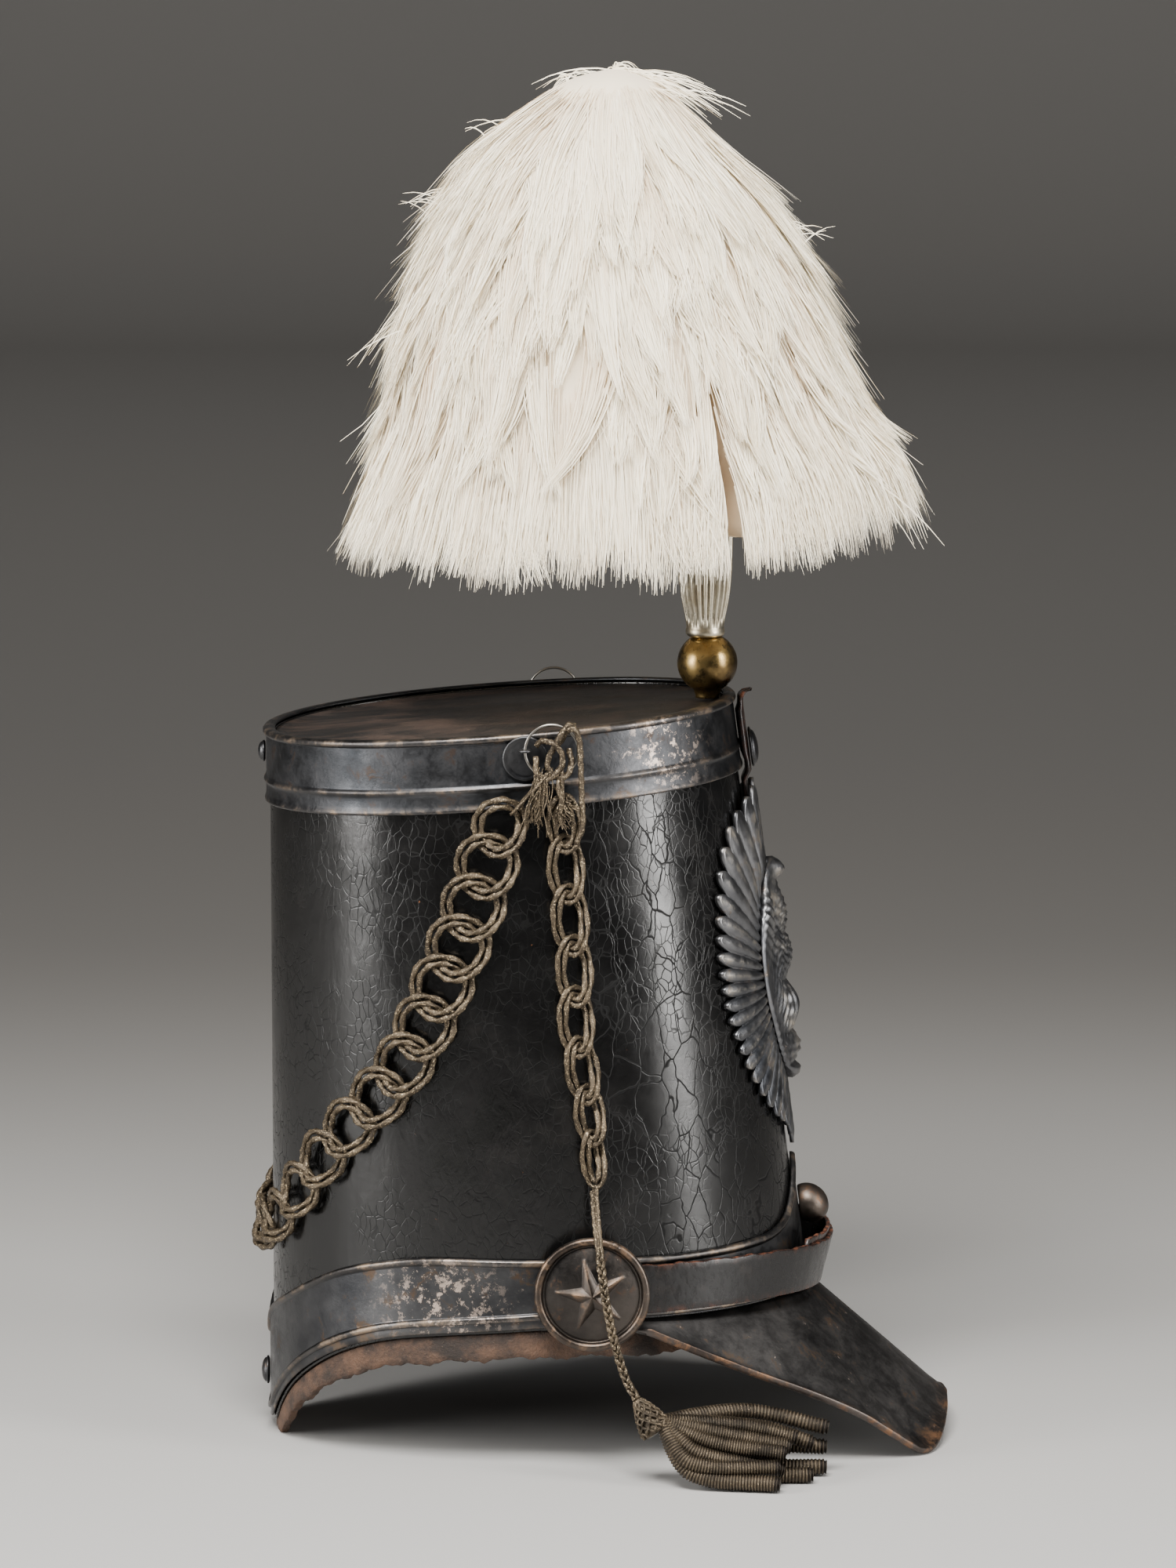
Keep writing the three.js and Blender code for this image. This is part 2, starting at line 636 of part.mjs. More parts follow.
// One link of a plait: a saddle-shaped ring, so that its neighbours pass through it;
// its lean lets a pair touch on one side only
function link(centre, tangent, normal, length, width, wire, saddle, steps = LINK_STEPS, sides = LINK_SIDES) {
  const T = new THREE.Vector3(...tangent).normalize();
  const N = new THREE.Vector3(...normal);
  N.addScaledVector(T, -N.dot(T)).normalize();
  const B = new THREE.Vector3().crossVectors(N, T);
  const at = (f) => new THREE.Vector3(...centre)
    .addScaledVector(T, length * Math.cos(f))
    .addScaledVector(B, width * Math.sin(f))
    .addScaledVector(N, saddle * (Math.sin(2 * f) + 0.5 * Math.cos(f)));
  const rings = [];
  for (let i = 0; i < steps; i++) {
    const f = ((i + 0.5) / steps) * Math.PI * 2;
    const p = at(f);
    const along1 = at(f + 0.05).sub(at(f - 0.05)).normalize();
    const side = new THREE.Vector3().crossVectors(along1, N).normalize();
    const up = new THREE.Vector3().crossVectors(side, along1);
    const ring = [];
    for (let k = 0; k < sides; k++) {
      const b = ((k + 0.25) / sides) * Math.PI * 2;
      ring.push(p.clone().addScaledVector(side, wire * Math.cos(b)).addScaledVector(up, wire * Math.sin(b)).toArray());
    }
    rings.push(ring);
  }
  return ringBody(rings, true);
}

// Middles of the links on the right side: [x, z, half length, half width]
const DRAPE_LINKS = [
  [-39.6, 250, 10.2, 9], [-44.6, 234.8, 11.4, 10.8], [-49.8, 219, 11.6, 11],
  [-55.6, 203.4, 11.6, 11], [-62, 188, 11.6, 10.8], [-68.8, 172.6, 11.6, 10.6],
  [-76.8, 157.6, 11.6, 10.2], [-87, 144.2, 11.4, 9.8], [-98.6, 131.2, 11.2, 9.4],
  [-109.2, 117.4, 11, 9.2], [-118.6, 103, 11, 9],
];
// Middles of the links across the back: [y, z] on one side
const BACK_LINKS = [[-33, 90], [-16.8, 83.4]];

// The line stands further off where it crosses the crown band's skirt
const lineOff = (z) => DRAPE_OFF + 2.2 * smooth(238, 250, z);

const BACK_MIDDLE_Z = 81.4;

function headSpot(x, z, side) {
  const front = frontAt(z);
  const a = (front - BACK_X) / 2 + DRAPE_OFF;
  const c = THREE.MathUtils.clamp((x - (front + BACK_X) / 2) / a, -1, 1);
  return side * Math.acos(signed(c, OVAL_POWER / 2));
}

function spotNormal(t, z) {
  const a = onHead(t, z, 0);
  const b = onHead(t + 0.01, z, 0);
  return [b[1] - a[1], a[0] - b[0], 0];
}

function chainOf(spots, wire, saddle) {
  return spots.map((spot, i) => {
    const before = spots[Math.max(0, i - 1)].p;
    const after = spots[Math.min(spots.length - 1, i + 1)].p;
    const tangent = [0, 1, 2].map((c) => after[c] - before[c]);
    return link(spot.p, tangent, spotNormal(spot.t, spot.p[2]), spot.length, spot.width, wire, saddle);
  });
}

{
  const side = (sign) => DRAPE_LINKS.map(([x, z, length, width]) => {
    const t = headSpot(x, z, sign);
    return { t, p: onHead(t, z, lineOff(z)), length, width };
  });
  const backSpot = (y, z) => {
    const t = Math.PI - frontAngle(y, z, DRAPE_OFF);
    return { t, p: onHead(t, z, DRAPE_OFF), length: 10.9, width: 8.8 };
  };
  const right = side(-1);
  const left = side(1).reverse();
  const back = [...BACK_LINKS.map(([y, z]) => backSpot(y, z)), backSpot(0, BACK_MIDDLE_Z),
    ...BACK_LINKS.slice().reverse().map(([y, z]) => backSpot(-y, z))];
  const parts = chainOf([...right, ...back, ...left], DRAPE_WIRE, 1.85);
  // Standing loop through each ring
  for (const sign of [-1, 1]) {
    const ringY = Math.abs(onHead(rad(90), RING_Z, RING_OFF)[1]);
    const top = [RING_X - 2.4, sign * ringY, RING_Z - RING_R * 0.97];
    const low = [right[0].p[0], sign * Math.abs(right[0].p[1]), right[0].p[2]];
    const tangent = [0, 1, 2].map((c) => low[c] - top[c]);
    const half = Math.hypot(...tangent) * 0.42;
    const unit = tangent.map((v) => v / Math.hypot(...tangent));
    const centre = top.map((v, c) => v + unit[c] * (half - 3.2));
    parts.push(link(centre, tangent, [1, 0, 0.4], half, 3.5, 1.4, 0));
  }
  add('cord_drape', fuse(parts), bullion);
}

// Drop from the right ring: [x, z, half length, half width]
const DROP_LINKS = [
  [-15.6, 251, 10, 6], [-14.4, 233.4, 12, 6.8], [-12.8, 214, 12.4, 6.8], [-11.2, 194.6, 12.4, 6.6],
  [-10.6, 175.2, 12.4, 6.4], [-8.2, 156.6, 11.8, 5.8], [-5.4, 139.4, 10.6, 5], [-4, 122.6, 10, 3.8],
];
{
  const spots = DROP_LINKS.map(([x, z, length, width]) => {
    const t = headSpot(x, z, -1);
    return { t, p: onHead(t, z, lineOff(z) - 0.2), length, width };
  });
  const parts = chainOf(spots, DROP_WIRE, 1.6);
  const ringY = onHead(rad(90), RING_Z, RING_OFF)[1];
  const top = [RING_X + 4, -ringY, RING_Z - RING_R * 0.92];
  const low = spots[0].p;
  const tangent = [0, 1, 2].map((c) => low[c] - top[c]);
  const half = Math.hypot(...tangent) * 0.5;
  const unit = tangent.map((v) => v / Math.hypot(...tangent));
  const centre = top.map((v, c) => v + unit[c] * (half - 3.2));
  parts.push(link(centre, tangent, [1, 0, 0], half, 3.2, 1.5, 0));
  add('cord_drop', fuse(parts), bullion);
}

// Cord from the drop to the tassel, over the face of the rosette
// [x, distance outside the head's half width, z]
const outside = ([x, off, z]) => new THREE.Vector3(x, -halfWidthAt(z) - off, z);
const TASSEL_CORD = [
  [-3.8, 4.89, 111.4], [-3, 7.73, 101], [-1.8, 14.25, 90], [-0.6, 16.01, 80], [1.2, 15.69, 68],
  [3.6, 14.36, 56], [6.4, 12.33, 46], [9, 11.19, 38.4], [12.44, 12.67, 32.84],
];
{
  const path = new THREE.CatmullRomCurve3(TASSEL_CORD.map(outside));
  const outline = new THREE.Shape();
  for (let k = 0; k < 8; k++) {
    const a = (k / 8) * Math.PI * 2;
    const p = [1.7 * Math.cos(a), 1.7 * Math.sin(a)];
    if (k === 0) outline.moveTo(...p);
    else outline.lineTo(...p);
  }
  outline.closePath();
  const tube = new THREE.ExtrudeGeometry(outline, { steps: 13, extrudePath: path });
  for (const name of Object.keys(tube.attributes)) if (name !== 'position') tube.deleteAttribute(name);
  add('tassel_cord', mergeVertices(tube, 1e-3), bullion);
}

// Tassel lying on the surface: netted head and bullion strands
const STRAND_R = 3.2;
const STRANDS = [
  // [middle x, outside, z, end x, outside, z]
  [32.8, 21.6, 6.6, 66.6, 26.5, 3.35], [32.7, 22.8, 10.9, 66.5, 20.7, 8.2],
  [35, 19.9, 14.1, 68, 15.1, 6], [40.7, 16.1, 17, 69.1, 17.4, 13],
  [45.3, 13.2, 19.6, 70.9, 11.9, 14], [54, 8.2, 21.2, 73.3, 7.5, 16.6],
  [54.3, -2.6, 24.5, 85.6, -2.9, 18.1], [59.9, 1.1, 19, 79.9, 1.9, 13],
  [60, -4.2, 12, 85.1, -5.2, 10], [60, 0.5, 5, 85, 0.5, 3.7], [55, 11.5, 3.6, 79.6, 11.5, 3.5],
];
{
  const a = outside([12.6, 12.74, 32.6]);
  const b = outside([19.6, 15.88, 22]);
  const T = b.clone().sub(a).normalize();
  const U = new THREE.Vector3(0, 1, 0).addScaledVector(T, -T.y).normalize();
  const V = new THREE.Vector3().crossVectors(T, U);
  const long = a.distanceTo(b);
  const head = turned([[1.5, 0.1], [2.6, long * 0.16], [4.6, long * 0.5], [6.2, long], [4.4, long + 2]],
    12, (u, v, h) => a.clone().addScaledVector(T, h).addScaledVector(U, u).addScaledVector(V, v).toArray());
  const strands = STRANDS.map(([mx, my, mz, ex, ey, ez]) => {
    const start = b.clone().addScaledVector(T, -2);
    const middle = outside([mx, my, mz]);
    const end = outside([ex, ey, ez]);
    start.addScaledVector(middle.clone().sub(start).projectOnPlane(T).normalize(), 3.2);
    const curve = new THREE.CatmullRomCurve3([start, middle, end]);
    const rings = [];
    for (let i = 0; i <= 5; i++) {
      const p = curve.getPoint(i / 5);
      const t = curve.getTangent(i / 5);
      const s = new THREE.Vector3(0, 0, 1).cross(t).normalize();
      const u = new THREE.Vector3().crossVectors(t, s);
      const ring = [];
      for (let k = 0; k < 5; k++) {
        const f = ((k + 0.25) / 5) * Math.PI * 2;
        ring.push(p.clone().addScaledVector(s, STRAND_R * Math.cos(f)).addScaledVector(u, STRAND_R * Math.sin(f)).toArray());
      }
      for (const q of ring) q[2] = Math.max(q[2], 0.05);
      rings.push(ring);
    }
    return ringBody(rings);
  });
  add('tassel', fuse([head, ...strands]), bullion);
}

// Ball and socket of the plume
{
  const foot = rimZ(PLUME_X) - CROWN_SUNK + 1 + GAP;
  const top = SOCKET_LOW_Z + 3.2 - GAP;
  const place = (u, v, h) => [PLUME_X + 0.5 + u, v, h];
  const rows = [[4.6, foot], [4.6, foot + 0.8], ...ballRows(BALL_R, BALL_Z, -62, 60, 6), [5.2, top]];
  add('plume_ball', turned(rows, 12, place), brass);
  const flute = (a, h, k) => (h > SOCKET_LOW_Z + 6 ? (k % 2 ? 0.9 : 1) : 1);
  add('plume_socket', turned([
    [6.8, SOCKET_LOW_Z + 3.2], [7.4, SOCKET_LOW_Z + 4.6], [7.4, SOCKET_LOW_Z + 6],
    [9.8, SOCKET_LOW_Z + 20.8], [10.7, SOCKET_LOW_Z + 34.8], [10.9, SOCKET_TOP_Z - 3], [9.6, SOCKET_TOP_Z],
  ], 22, (u, v, h) => [PLUME_X - 0.4 + u, v, h], flute), paleSilver);
}

// Plume: reach and height of the hem, and rows above it
const PLUME_HEM = { back: 107, front: 111, side: 96, middle: 8 };
const PLUME_HEM_Z = 344;
const PLUME_HIGH = 187;
const PLUME_ROWS = [
  // [share of the height, shares of the hem's reach back, front and sideways, middle x from the hem's]
  [1, 0.028, 0.036, 0.031, -4], [0.973, 0.187, 0.162, 0.177, -5], [0.909, 0.346, 0.297, 0.333, -6],
  [0.834, 0.495, 0.405, 0.5, -6], [0.738, 0.598, 0.541, 0.646, -5], [0.599, 0.71, 0.676, 0.781, -4],
  [0.449, 0.794, 0.784, 0.875, -3], [0.299, 0.841, 0.874, 0.938, -2],
  [0.16, 0.916, 0.973, 0.979, -1],
];
{
  const lobe = (a, depth) => {
    const locks = 1 + 0.02 * depth * Math.cos(13 * a);
    // The feathers part toward the wearer's right, a little forward of the socket
    const off = Math.abs(Math.atan2(Math.sin(a - rad(-68)), Math.cos(a - rad(-68))));
    const part = 1 - 0.2 * depth * Math.exp(-((off / 0.16) ** 2));
    return locks * part;
  };
  const oval = (a, back, front, side, middle, share = 1) => {
    const c = Math.cos(a);
    const s = Math.sin(a);
    return [middle + (c > 0 ? front : back) * c * share, side * s * share];
  };
  const ringAt = (row, depth) => {
    const ring = [];
    for (let k = 0; k < PLUME_STEPS; k++) {
      const a = (k / PLUME_STEPS) * Math.PI * 2;
      const { back, front, side, middle } = PLUME_HEM;
      const [x, y] = oval(a, back * row[1], front * row[2], side * row[3], middle + row[4], lobe(a, depth));
      ring.push([x, y, PLUME_HEM_Z + PLUME_HIGH * row[0]]);
    }
    return ring;
  };
  const hemZ = (a) => PLUME_HEM_Z + 14 * Math.max(0, Math.cos(a)) ** 1.5 + 3 * Math.cos(11 * a);
  const hem = (share, lift) => {
    const ring = [];
    for (let k = 0; k < PLUME_STEPS; k++) {
      const a = (k / PLUME_STEPS) * Math.PI * 2;
      const { back, front, side, middle } = PLUME_HEM;
      const [x, y] = oval(a, back, front, side, middle, lobe(a, 1) * share);
      ring.push([x, y, hemZ(a) + lift]);
    }
    return ring;
  };
  const inside = (x, r, z) => {
    const ring = [];
    for (let k = 0; k < PLUME_STEPS; k++) {
      const a = (k / PLUME_STEPS) * Math.PI * 2;
      ring.push([x + r * Math.cos(a), r * Math.sin(a), z]);
    }
    return ring;
  };
  const rings = PLUME_ROWS.map((row, i) => ringAt(row, i / PLUME_ROWS.length));
  rings.push(hem(1, 0), hem(0.86, -2), hem(0.62, 7));
  rings.push(inside(PLUME_X - 10, 24, SOCKET_TOP_Z - 4), inside(PLUME_X - 0.4, 13, SOCKET_TOP_Z + GAP),
    inside(PLUME_X - 0.4, 5, SOCKET_TOP_Z + GAP));
  add('plume', ringBody(rings), feather);
}

export default hat;
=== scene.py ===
import math

import bpy
import numpy as np
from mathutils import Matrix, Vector


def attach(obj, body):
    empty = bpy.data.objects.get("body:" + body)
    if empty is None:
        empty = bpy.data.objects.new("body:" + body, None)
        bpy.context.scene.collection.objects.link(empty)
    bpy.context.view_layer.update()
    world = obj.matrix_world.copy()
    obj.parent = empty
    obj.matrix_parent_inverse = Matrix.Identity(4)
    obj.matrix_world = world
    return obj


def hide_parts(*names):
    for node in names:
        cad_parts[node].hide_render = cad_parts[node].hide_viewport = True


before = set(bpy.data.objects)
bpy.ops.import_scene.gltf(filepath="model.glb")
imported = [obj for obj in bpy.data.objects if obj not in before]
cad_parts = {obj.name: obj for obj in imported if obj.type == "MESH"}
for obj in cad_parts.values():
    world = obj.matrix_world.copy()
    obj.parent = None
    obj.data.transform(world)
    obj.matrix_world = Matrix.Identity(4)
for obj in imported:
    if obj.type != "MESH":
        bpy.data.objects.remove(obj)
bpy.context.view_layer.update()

# Sizes are in millimetres, as in the solids; build() turns them into metres
MM = 0.001
SHIFT_X = 1.4
FRONT_LOW, FRONT_HIGH, BACK = 80.0, 48.3, -129.6
HALF_LOW, HALF_HIGH = 84.5, 74.0
LEVEL_LOW, LEVEL_HIGH = 50.0, 290.0
POWER = 2.1
WALL, GAP, SHEET, BEAD = 2.0, 0.3, 1.2, 2.5
BEAD_SIDE_Z, BEAD_NAPE_Z, BEAD_MARGIN, PEAK_MARGIN = 61.6, 7.0, 4.4, 1.3
BAND_SIDE_TOP, BAND_NAPE_TOP, FRONTLET_TOP = 83.5, 39.0, 108.5
SHELL_BELOW_BAND, SWEAT_SIDE_LOW, SWEAT_HEIGHT, FOOT_FLAT = 1.2, 45.4, 34.0, 8.0
RIM_BACK_Z, RIM_SLOPE, CROWN_BAND_HEIGHT = 277.6, 0.073, 28.5
STRAP_WIDTH, STRAP_LOW_Z, STRAP_SAG, STRAP_OFF = 18.2, 62.7, 3.2, 3.0
RING_X, RING_Z, RING_OFF, RING_R = -19.8 + SHIFT_X, 279.0, 7.4, 10.0
LINE_OFF = 4.4
TAU = math.tau
rng = np.random.default_rng(7)

# Camera at the photograph's angle, above the floor
AIM = Vector((-0.0047, 0, 0.2542))
TILT = math.radians(8.54)
DISTANCE = 2.629
camera = bpy.data.objects.new("camera", bpy.data.cameras.new("camera"))
bpy.context.scene.collection.objects.link(camera)
camera.location = AIM + DISTANCE * Vector((0, -math.cos(TILT), math.sin(TILT)))
camera.rotation_euler = (math.pi / 2 - TILT, 0, 0)
camera.data.sensor_fit = "HORIZONTAL"
camera.data.sensor_width = 36
camera.data.lens = 36 * (DISTANCE / 0.000305) / 1500
camera.data.clip_end = 40
bpy.context.scene.camera = camera


# Materials

class Graph:
    """The nodes of one material, round its Principled BSDF."""

    def __init__(self, name, sockets):
        self.material = bpy.data.materials.new(name)
        self.material.use_nodes = True
        tree = self.material.node_tree
        tree.nodes.clear()
        self.nodes, self.link = tree.nodes, tree.links.new
        out = self.nodes.new("ShaderNodeOutputMaterial")
        self.bsdf = self.nodes.new("ShaderNodeBsdfPrincipled")
        self.link(self.bsdf.outputs[0], out.inputs["Surface"])
        for key, value in sockets.items():
            self.bsdf.inputs[key.replace("_", " ")].default_value = value

    def add(self, kind, **values):
        node = self.nodes.new("ShaderNode" + kind)
        for key, value in values.items():
            socket = key.replace("_", " ")
            if socket in node.inputs:
                node.inputs[socket].default_value = value
            else:
                setattr(node, key, value)
        return node

    def feed(self, value, socket):
        """A number, a colour or another node's output into a socket."""
        if isinstance(value, (int, float)):
            socket.default_value = value
        elif isinstance(value, tuple):
            socket.default_value = (*value, 1)
        else:
            self.link(value, socket)

    def out(self, name, value):
        self.link(value, self.bsdf.inputs[name])

    def place(self, scale=(1, 1, 1), source=None):
        """Object coordinates in metres, or those of source, stretched."""
        if source is None:
            source = self.add("TexCoord").outputs["Object"]
        mapping = self.add("Mapping")
        mapping.inputs["Scale"].default_value = scale
        self.link(source, mapping.inputs["Vector"])
        return mapping.outputs["Vector"]

    def noise(self, where, scale, detail=4.0, rough=0.55, distort=0.0):
        node = self.add("TexNoise", Scale=scale, Detail=detail, Roughness=rough, Distortion=distort)
        self.link(where, node.inputs["Vector"])
        return node.outputs["Fac"]

    def cells(self, where, scale):
        """Distance to the edges of irregular cells."""
        node = self.add("TexVoronoi", Scale=scale, feature="DISTANCE_TO_EDGE")
        self.link(where, node.inputs["Vector"])
        return node.outputs["Distance"]

    def step(self, value, low, high, out_low=0.0, out_high=1.0):
        node = self.add("MapRange", interpolation_type="SMOOTHSTEP")
        for key, v in (("From Min", low), ("From Max", high), ("To Min", out_low), ("To Max", out_high)):
            node.inputs[key].default_value = v
        self.link(value, node.inputs["Value"])
        return node.outputs["Result"]

    def calc(self, kind, a, b):
        node = self.add("Math", operation=kind)
        self.feed(a, node.inputs[0])
        self.feed(b, node.inputs[1])
        return node.outputs[0]

    def plus(self, a, b):
        return self.calc("ADD", a, b)

    def minus(self, a, b):
        return self.calc("SUBTRACT", a, b)

    def times(self, a, b):
        return self.calc("MULTIPLY", a, b)

    def most(self, a, b):
        return self.calc("MAXIMUM", a, b)

    def blend(self, factor, a, b):
        """Colour a where factor is 0 and b where it is 1."""
        node = self.add("Mix", data_type="RGBA")
        for index, value in ((0, factor), (6, a), (7, b)):
            self.feed(value, node.inputs[index])
        return node.outputs[2]

    def bump(self, height, distance, strength):
        node = self.add("Bump", Strength=strength, Distance=distance)
        self.link(height, node.inputs["Height"])
        return node.outputs["Normal"]

    def near(self, centre, reach):
        """1 at a point of the hat, given in metres, falling to 0 at reach."""
        coords = self.add("TexCoord")
        away = self.add("VectorMath", operation="DISTANCE")
        self.link(coords.outputs["Object"], away.inputs[0])
        away.inputs[1].default_value = centre
        return self.step(away.outputs["Value"], 0.0, reach, 1.0, 0.0)

    def mark(self):
        """The painted mark of a vertex, 0 to 1: rubbed wear, and painted shade on the plume, tassel and
        socket.
        """
        return self.add("Attribute", attribute_name="mark").outputs["Fac"]


def surface(name, make, **sockets):
    graph = Graph(name, sockets)
    make(graph)
    return graph.material


def black_leather(g):
    flat = g.place()
    warp = g.noise(flat, 60, 3)
    # Coordinates bent a little, so that the cracks run unevenly
    bent = g.add("VectorMath", operation="ADD")
    push = g.add("VectorMath", operation="SCALE", Scale=0.006)
    wander = g.add("TexNoise", Scale=90, Detail=2)
    g.link(flat, wander.inputs["Vector"])
    g.link(wander.outputs["Color"], push.inputs[0])
    g.link(flat, bent.inputs[0])
    g.link(push.outputs[0], bent.inputs[1])

    def stretched(z):
        return g.place((1, 1, z), bent.outputs[0])

    coords = g.add("SeparateXYZ")
    g.link(flat, coords.inputs[0])
    front = g.step(coords.outputs["X"], -0.05, 0.03)
    big = g.times(g.step(g.cells(stretched(0.45), 125), 0.0, 0.032, 1.0, 0.0), front)
    fine = g.step(g.cells(stretched(0.6), 290), 0.0, 0.06, 0.7, 0.0)
    some = g.step(g.noise(flat, 34, 3), 0.4, 0.6)
    crack = g.most(big, g.times(fine, some))
    folds = g.noise(stretched(0.3), 240, 4, 0.6, 0.3)
    folds = g.times(folds, g.minus(1.15, front))
    height = g.minus(g.times(folds, 1.1), g.times(crack, 0.4))
    height = g.plus(height, g.times(g.noise(flat, 900, 3, 0.6), 0.12))
    height = g.plus(height, g.times(g.noise(stretched(0.5), 42, 4, 0.6), 1.0))
    g.out("Normal", g.bump(height, 0.00026, 0.5))
    fleck = g.step(g.noise(flat, 210, 5, 0.7), 0.72, 0.75)
    scuff = g.step(g.noise(flat, 30, 6, 0.7), 0.52, 0.78)
    colour = g.blend(scuff, (0.0022, 0.0021, 0.0021), (0.0062, 0.0053, 0.0048))
    g.out("Base Color", g.blend(fleck, colour, (0.17, 0.07, 0.03)))
    gloss = g.step(warp, 0.3, 0.75, 0.17, 0.27)
    g.out("Roughness", g.plus(gloss, g.times(crack, 0.35)))
    g.out("Specular IOR Level", g.step(crack, 0.0, 1.0, 0.47, 0.12))


def crown_leather(g):
    flat = g.place()
    streak = g.noise(g.place((7, 40, 40)), 3.2, 6, 0.65)
    patch = g.noise(flat, 22, 5, 0.62)
    colour = g.blend(g.step(streak, 0.42, 0.68), (0.007, 0.006, 0.0055), (0.03, 0.019, 0.014))
    colour = g.blend(g.step(patch, 0.52, 0.7), colour, (0.045, 0.028, 0.02))
    g.out("Base Color", colour)
    g.out("Roughness", g.step(patch, 0.3, 0.7, 0.36, 0.62))
    height = g.plus(streak, g.noise(flat, 500, 4, 0.7))
    g.out("Normal", g.bump(height, 0.0006, 0.5))


def brown_leather(g):
    flat = g.place()
    patch = g.noise(flat, 70, 6, 0.7)
    fine = g.noise(flat, 800, 4, 0.7)
    colour = g.blend(g.step(patch, 0.35, 0.68), (0.018, 0.012, 0.009), (0.1, 0.053, 0.031))
    g.out("Base Color", g.blend(g.step(fine, 0.6, 0.8), colour, (0.17, 0.12, 0.085)))
    g.out("Normal", g.bump(g.plus(fine, patch), 0.0011, 0.9))


def strap_leather(g):
    flat = g.place()
    edge = g.mark()
    fine = g.noise(g.place((1, 1, 0.5)), 420, 5, 0.65)
    scuff = g.step(g.noise(flat, 55, 6, 0.7), 0.55, 0.8)
    colour = g.blend(scuff, (0.006, 0.0055, 0.0055), (0.018, 0.014, 0.012))
    rub = g.times(edge, g.step(g.noise(flat, 260, 4), 0.42, 0.64, 0.1, 1.0))
    g.out("Base Color", g.blend(rub, colour, (0.17, 0.06, 0.032)))
    g.out("Roughness", g.step(fine, 0.3, 0.7, 0.22, 0.36))
    g.out("Normal", g.bump(fine, 0.0002, 0.4))


def old_silver(dark, light, patch_colour, bright_at=None, bright_reach=0.04, rough=(0.3, 0.52),
               rubbed=(0.3, 0.23, 0.17), many=(0.56, 0.68)):
    """Tarnished plate: dark film, brown patches, rubbed edges and bare specks."""
    def make(g):
        flat = g.place()
        film = g.noise(flat, 26, 6, 0.62)
        cloud = g.noise(flat, 95, 7, 0.72, 0.4)
        fine = g.noise(flat, 700, 4, 0.7)
        colour = g.blend(g.step(film, 0.3, 0.7), dark, light)
        colour = g.blend(g.step(cloud, 0.55, 0.66, 0.0, 0.75), colour, patch_colour)
        rub = g.times(g.mark(), g.step(cloud, 0.46, 0.66, 0.08, 0.8))
        colour = g.blend(rub, colour, rubbed)
        speck = g.step(g.noise(flat, 190, 6, 0.75, 0.3), 0.64, 0.69)
        few = g.step(g.noise(flat, 18, 2), *many, 0.0, 0.7)
        if bright_at is not None:
            few = g.most(few, g.near(bright_at, bright_reach))
            bare = g.step(g.noise(flat, 240, 7, 0.8), 0.53, 0.58)
            close = g.near(bright_at, bright_reach * 0.8)
            speck = g.most(speck, g.times(close, bare))
        g.out("Base Color", g.blend(g.times(speck, few), colour, (0.62, 0.5, 0.42)))
        g.out("Roughness", g.step(cloud, 0.3, 0.7, *rough))
        height = g.plus(g.times(fine, 0.4), cloud)
        g.out("Normal", g.bump(height, 0.00022, 0.6))
    return make


def brass(g):
    flat = g.place()
    cloud = g.noise(flat, 130, 6, 0.7)
    film = g.noise(flat, 45, 4, 0.6)
    colour = g.blend(g.step(film, 0.35, 0.62), (0.1, 0.066, 0.03), (0.42, 0.29, 0.11))
    g.out("Base Color", g.blend(g.step(cloud, 0.56, 0.66, 0.0, 0.85), colour, (0.05, 0.036, 0.02)))
    g.out("Roughness", g.step(cloud, 0.3, 0.7, 0.2, 0.42))
    g.out("Normal", g.bump(cloud, 0.00018, 0.5))


def pale_silver(g):
    flat = g.place()
    cloud = g.noise(flat, 170, 6, 0.7)
    dark = g.mark()
    colour = g.blend(g.step(cloud, 0.35, 0.7), (0.62, 0.57, 0.45), (0.4, 0.34, 0.24))
    # The mark darkens the flutes, and is painted shade at the top, inside the plume
    g.out("Base Color", g.blend(dark, colour, (0.05, 0.035, 0.022)))
    g.out("Roughness", g.step(cloud, 0.3, 0.7, 0.26, 0.42))
    g.out("Normal", g.bump(cloud, 0.0002, 0.5))


def steel(g):
    cloud = g.noise(g.place(), 260, 4)
    g.out("Base Color", g.blend(cloud, (0.12, 0.11, 0.1), (0.42, 0.4, 0.36)))


def bullion(dark, light, glinting, few=(0.55, 0.66)):
    def make(g):
        flat = g.place()
        cloud = g.noise(flat, 110, 5, 0.65)
        glint = g.noise(flat, 1500, 3, 0.8)
        colour = g.blend(g.step(cloud, 0.3, 0.7), dark, light)
        colour = g.blend(g.step(glint, *few, 0.0, 0.9), colour, glinting)
        # The mark darkens to near black: painted shade in the tassel's coil grooves, and towards the strands'
        # ends; the cords' marks are zero
        g.out("Base Color", g.blend(g.mark(), colour, (0.012, 0.009, 0.007)))
        g.out("Roughness", g.step(glint, 0.4, 0.7, 0.5, 0.28))
        g.out("Normal", g.bump(glint, 0.0004, 0.7))
    return make


def feather(g):
    tone_and_shade = g.mark()
    # The mark paints shade in warm brown, on the barbs' roots and the under-form; the rest is tone that
    # differs at random
    g.out("Base Color", g.blend(tone_and_shade, (1.0, 0.92, 0.74), (0.56, 0.36, 0.17)))


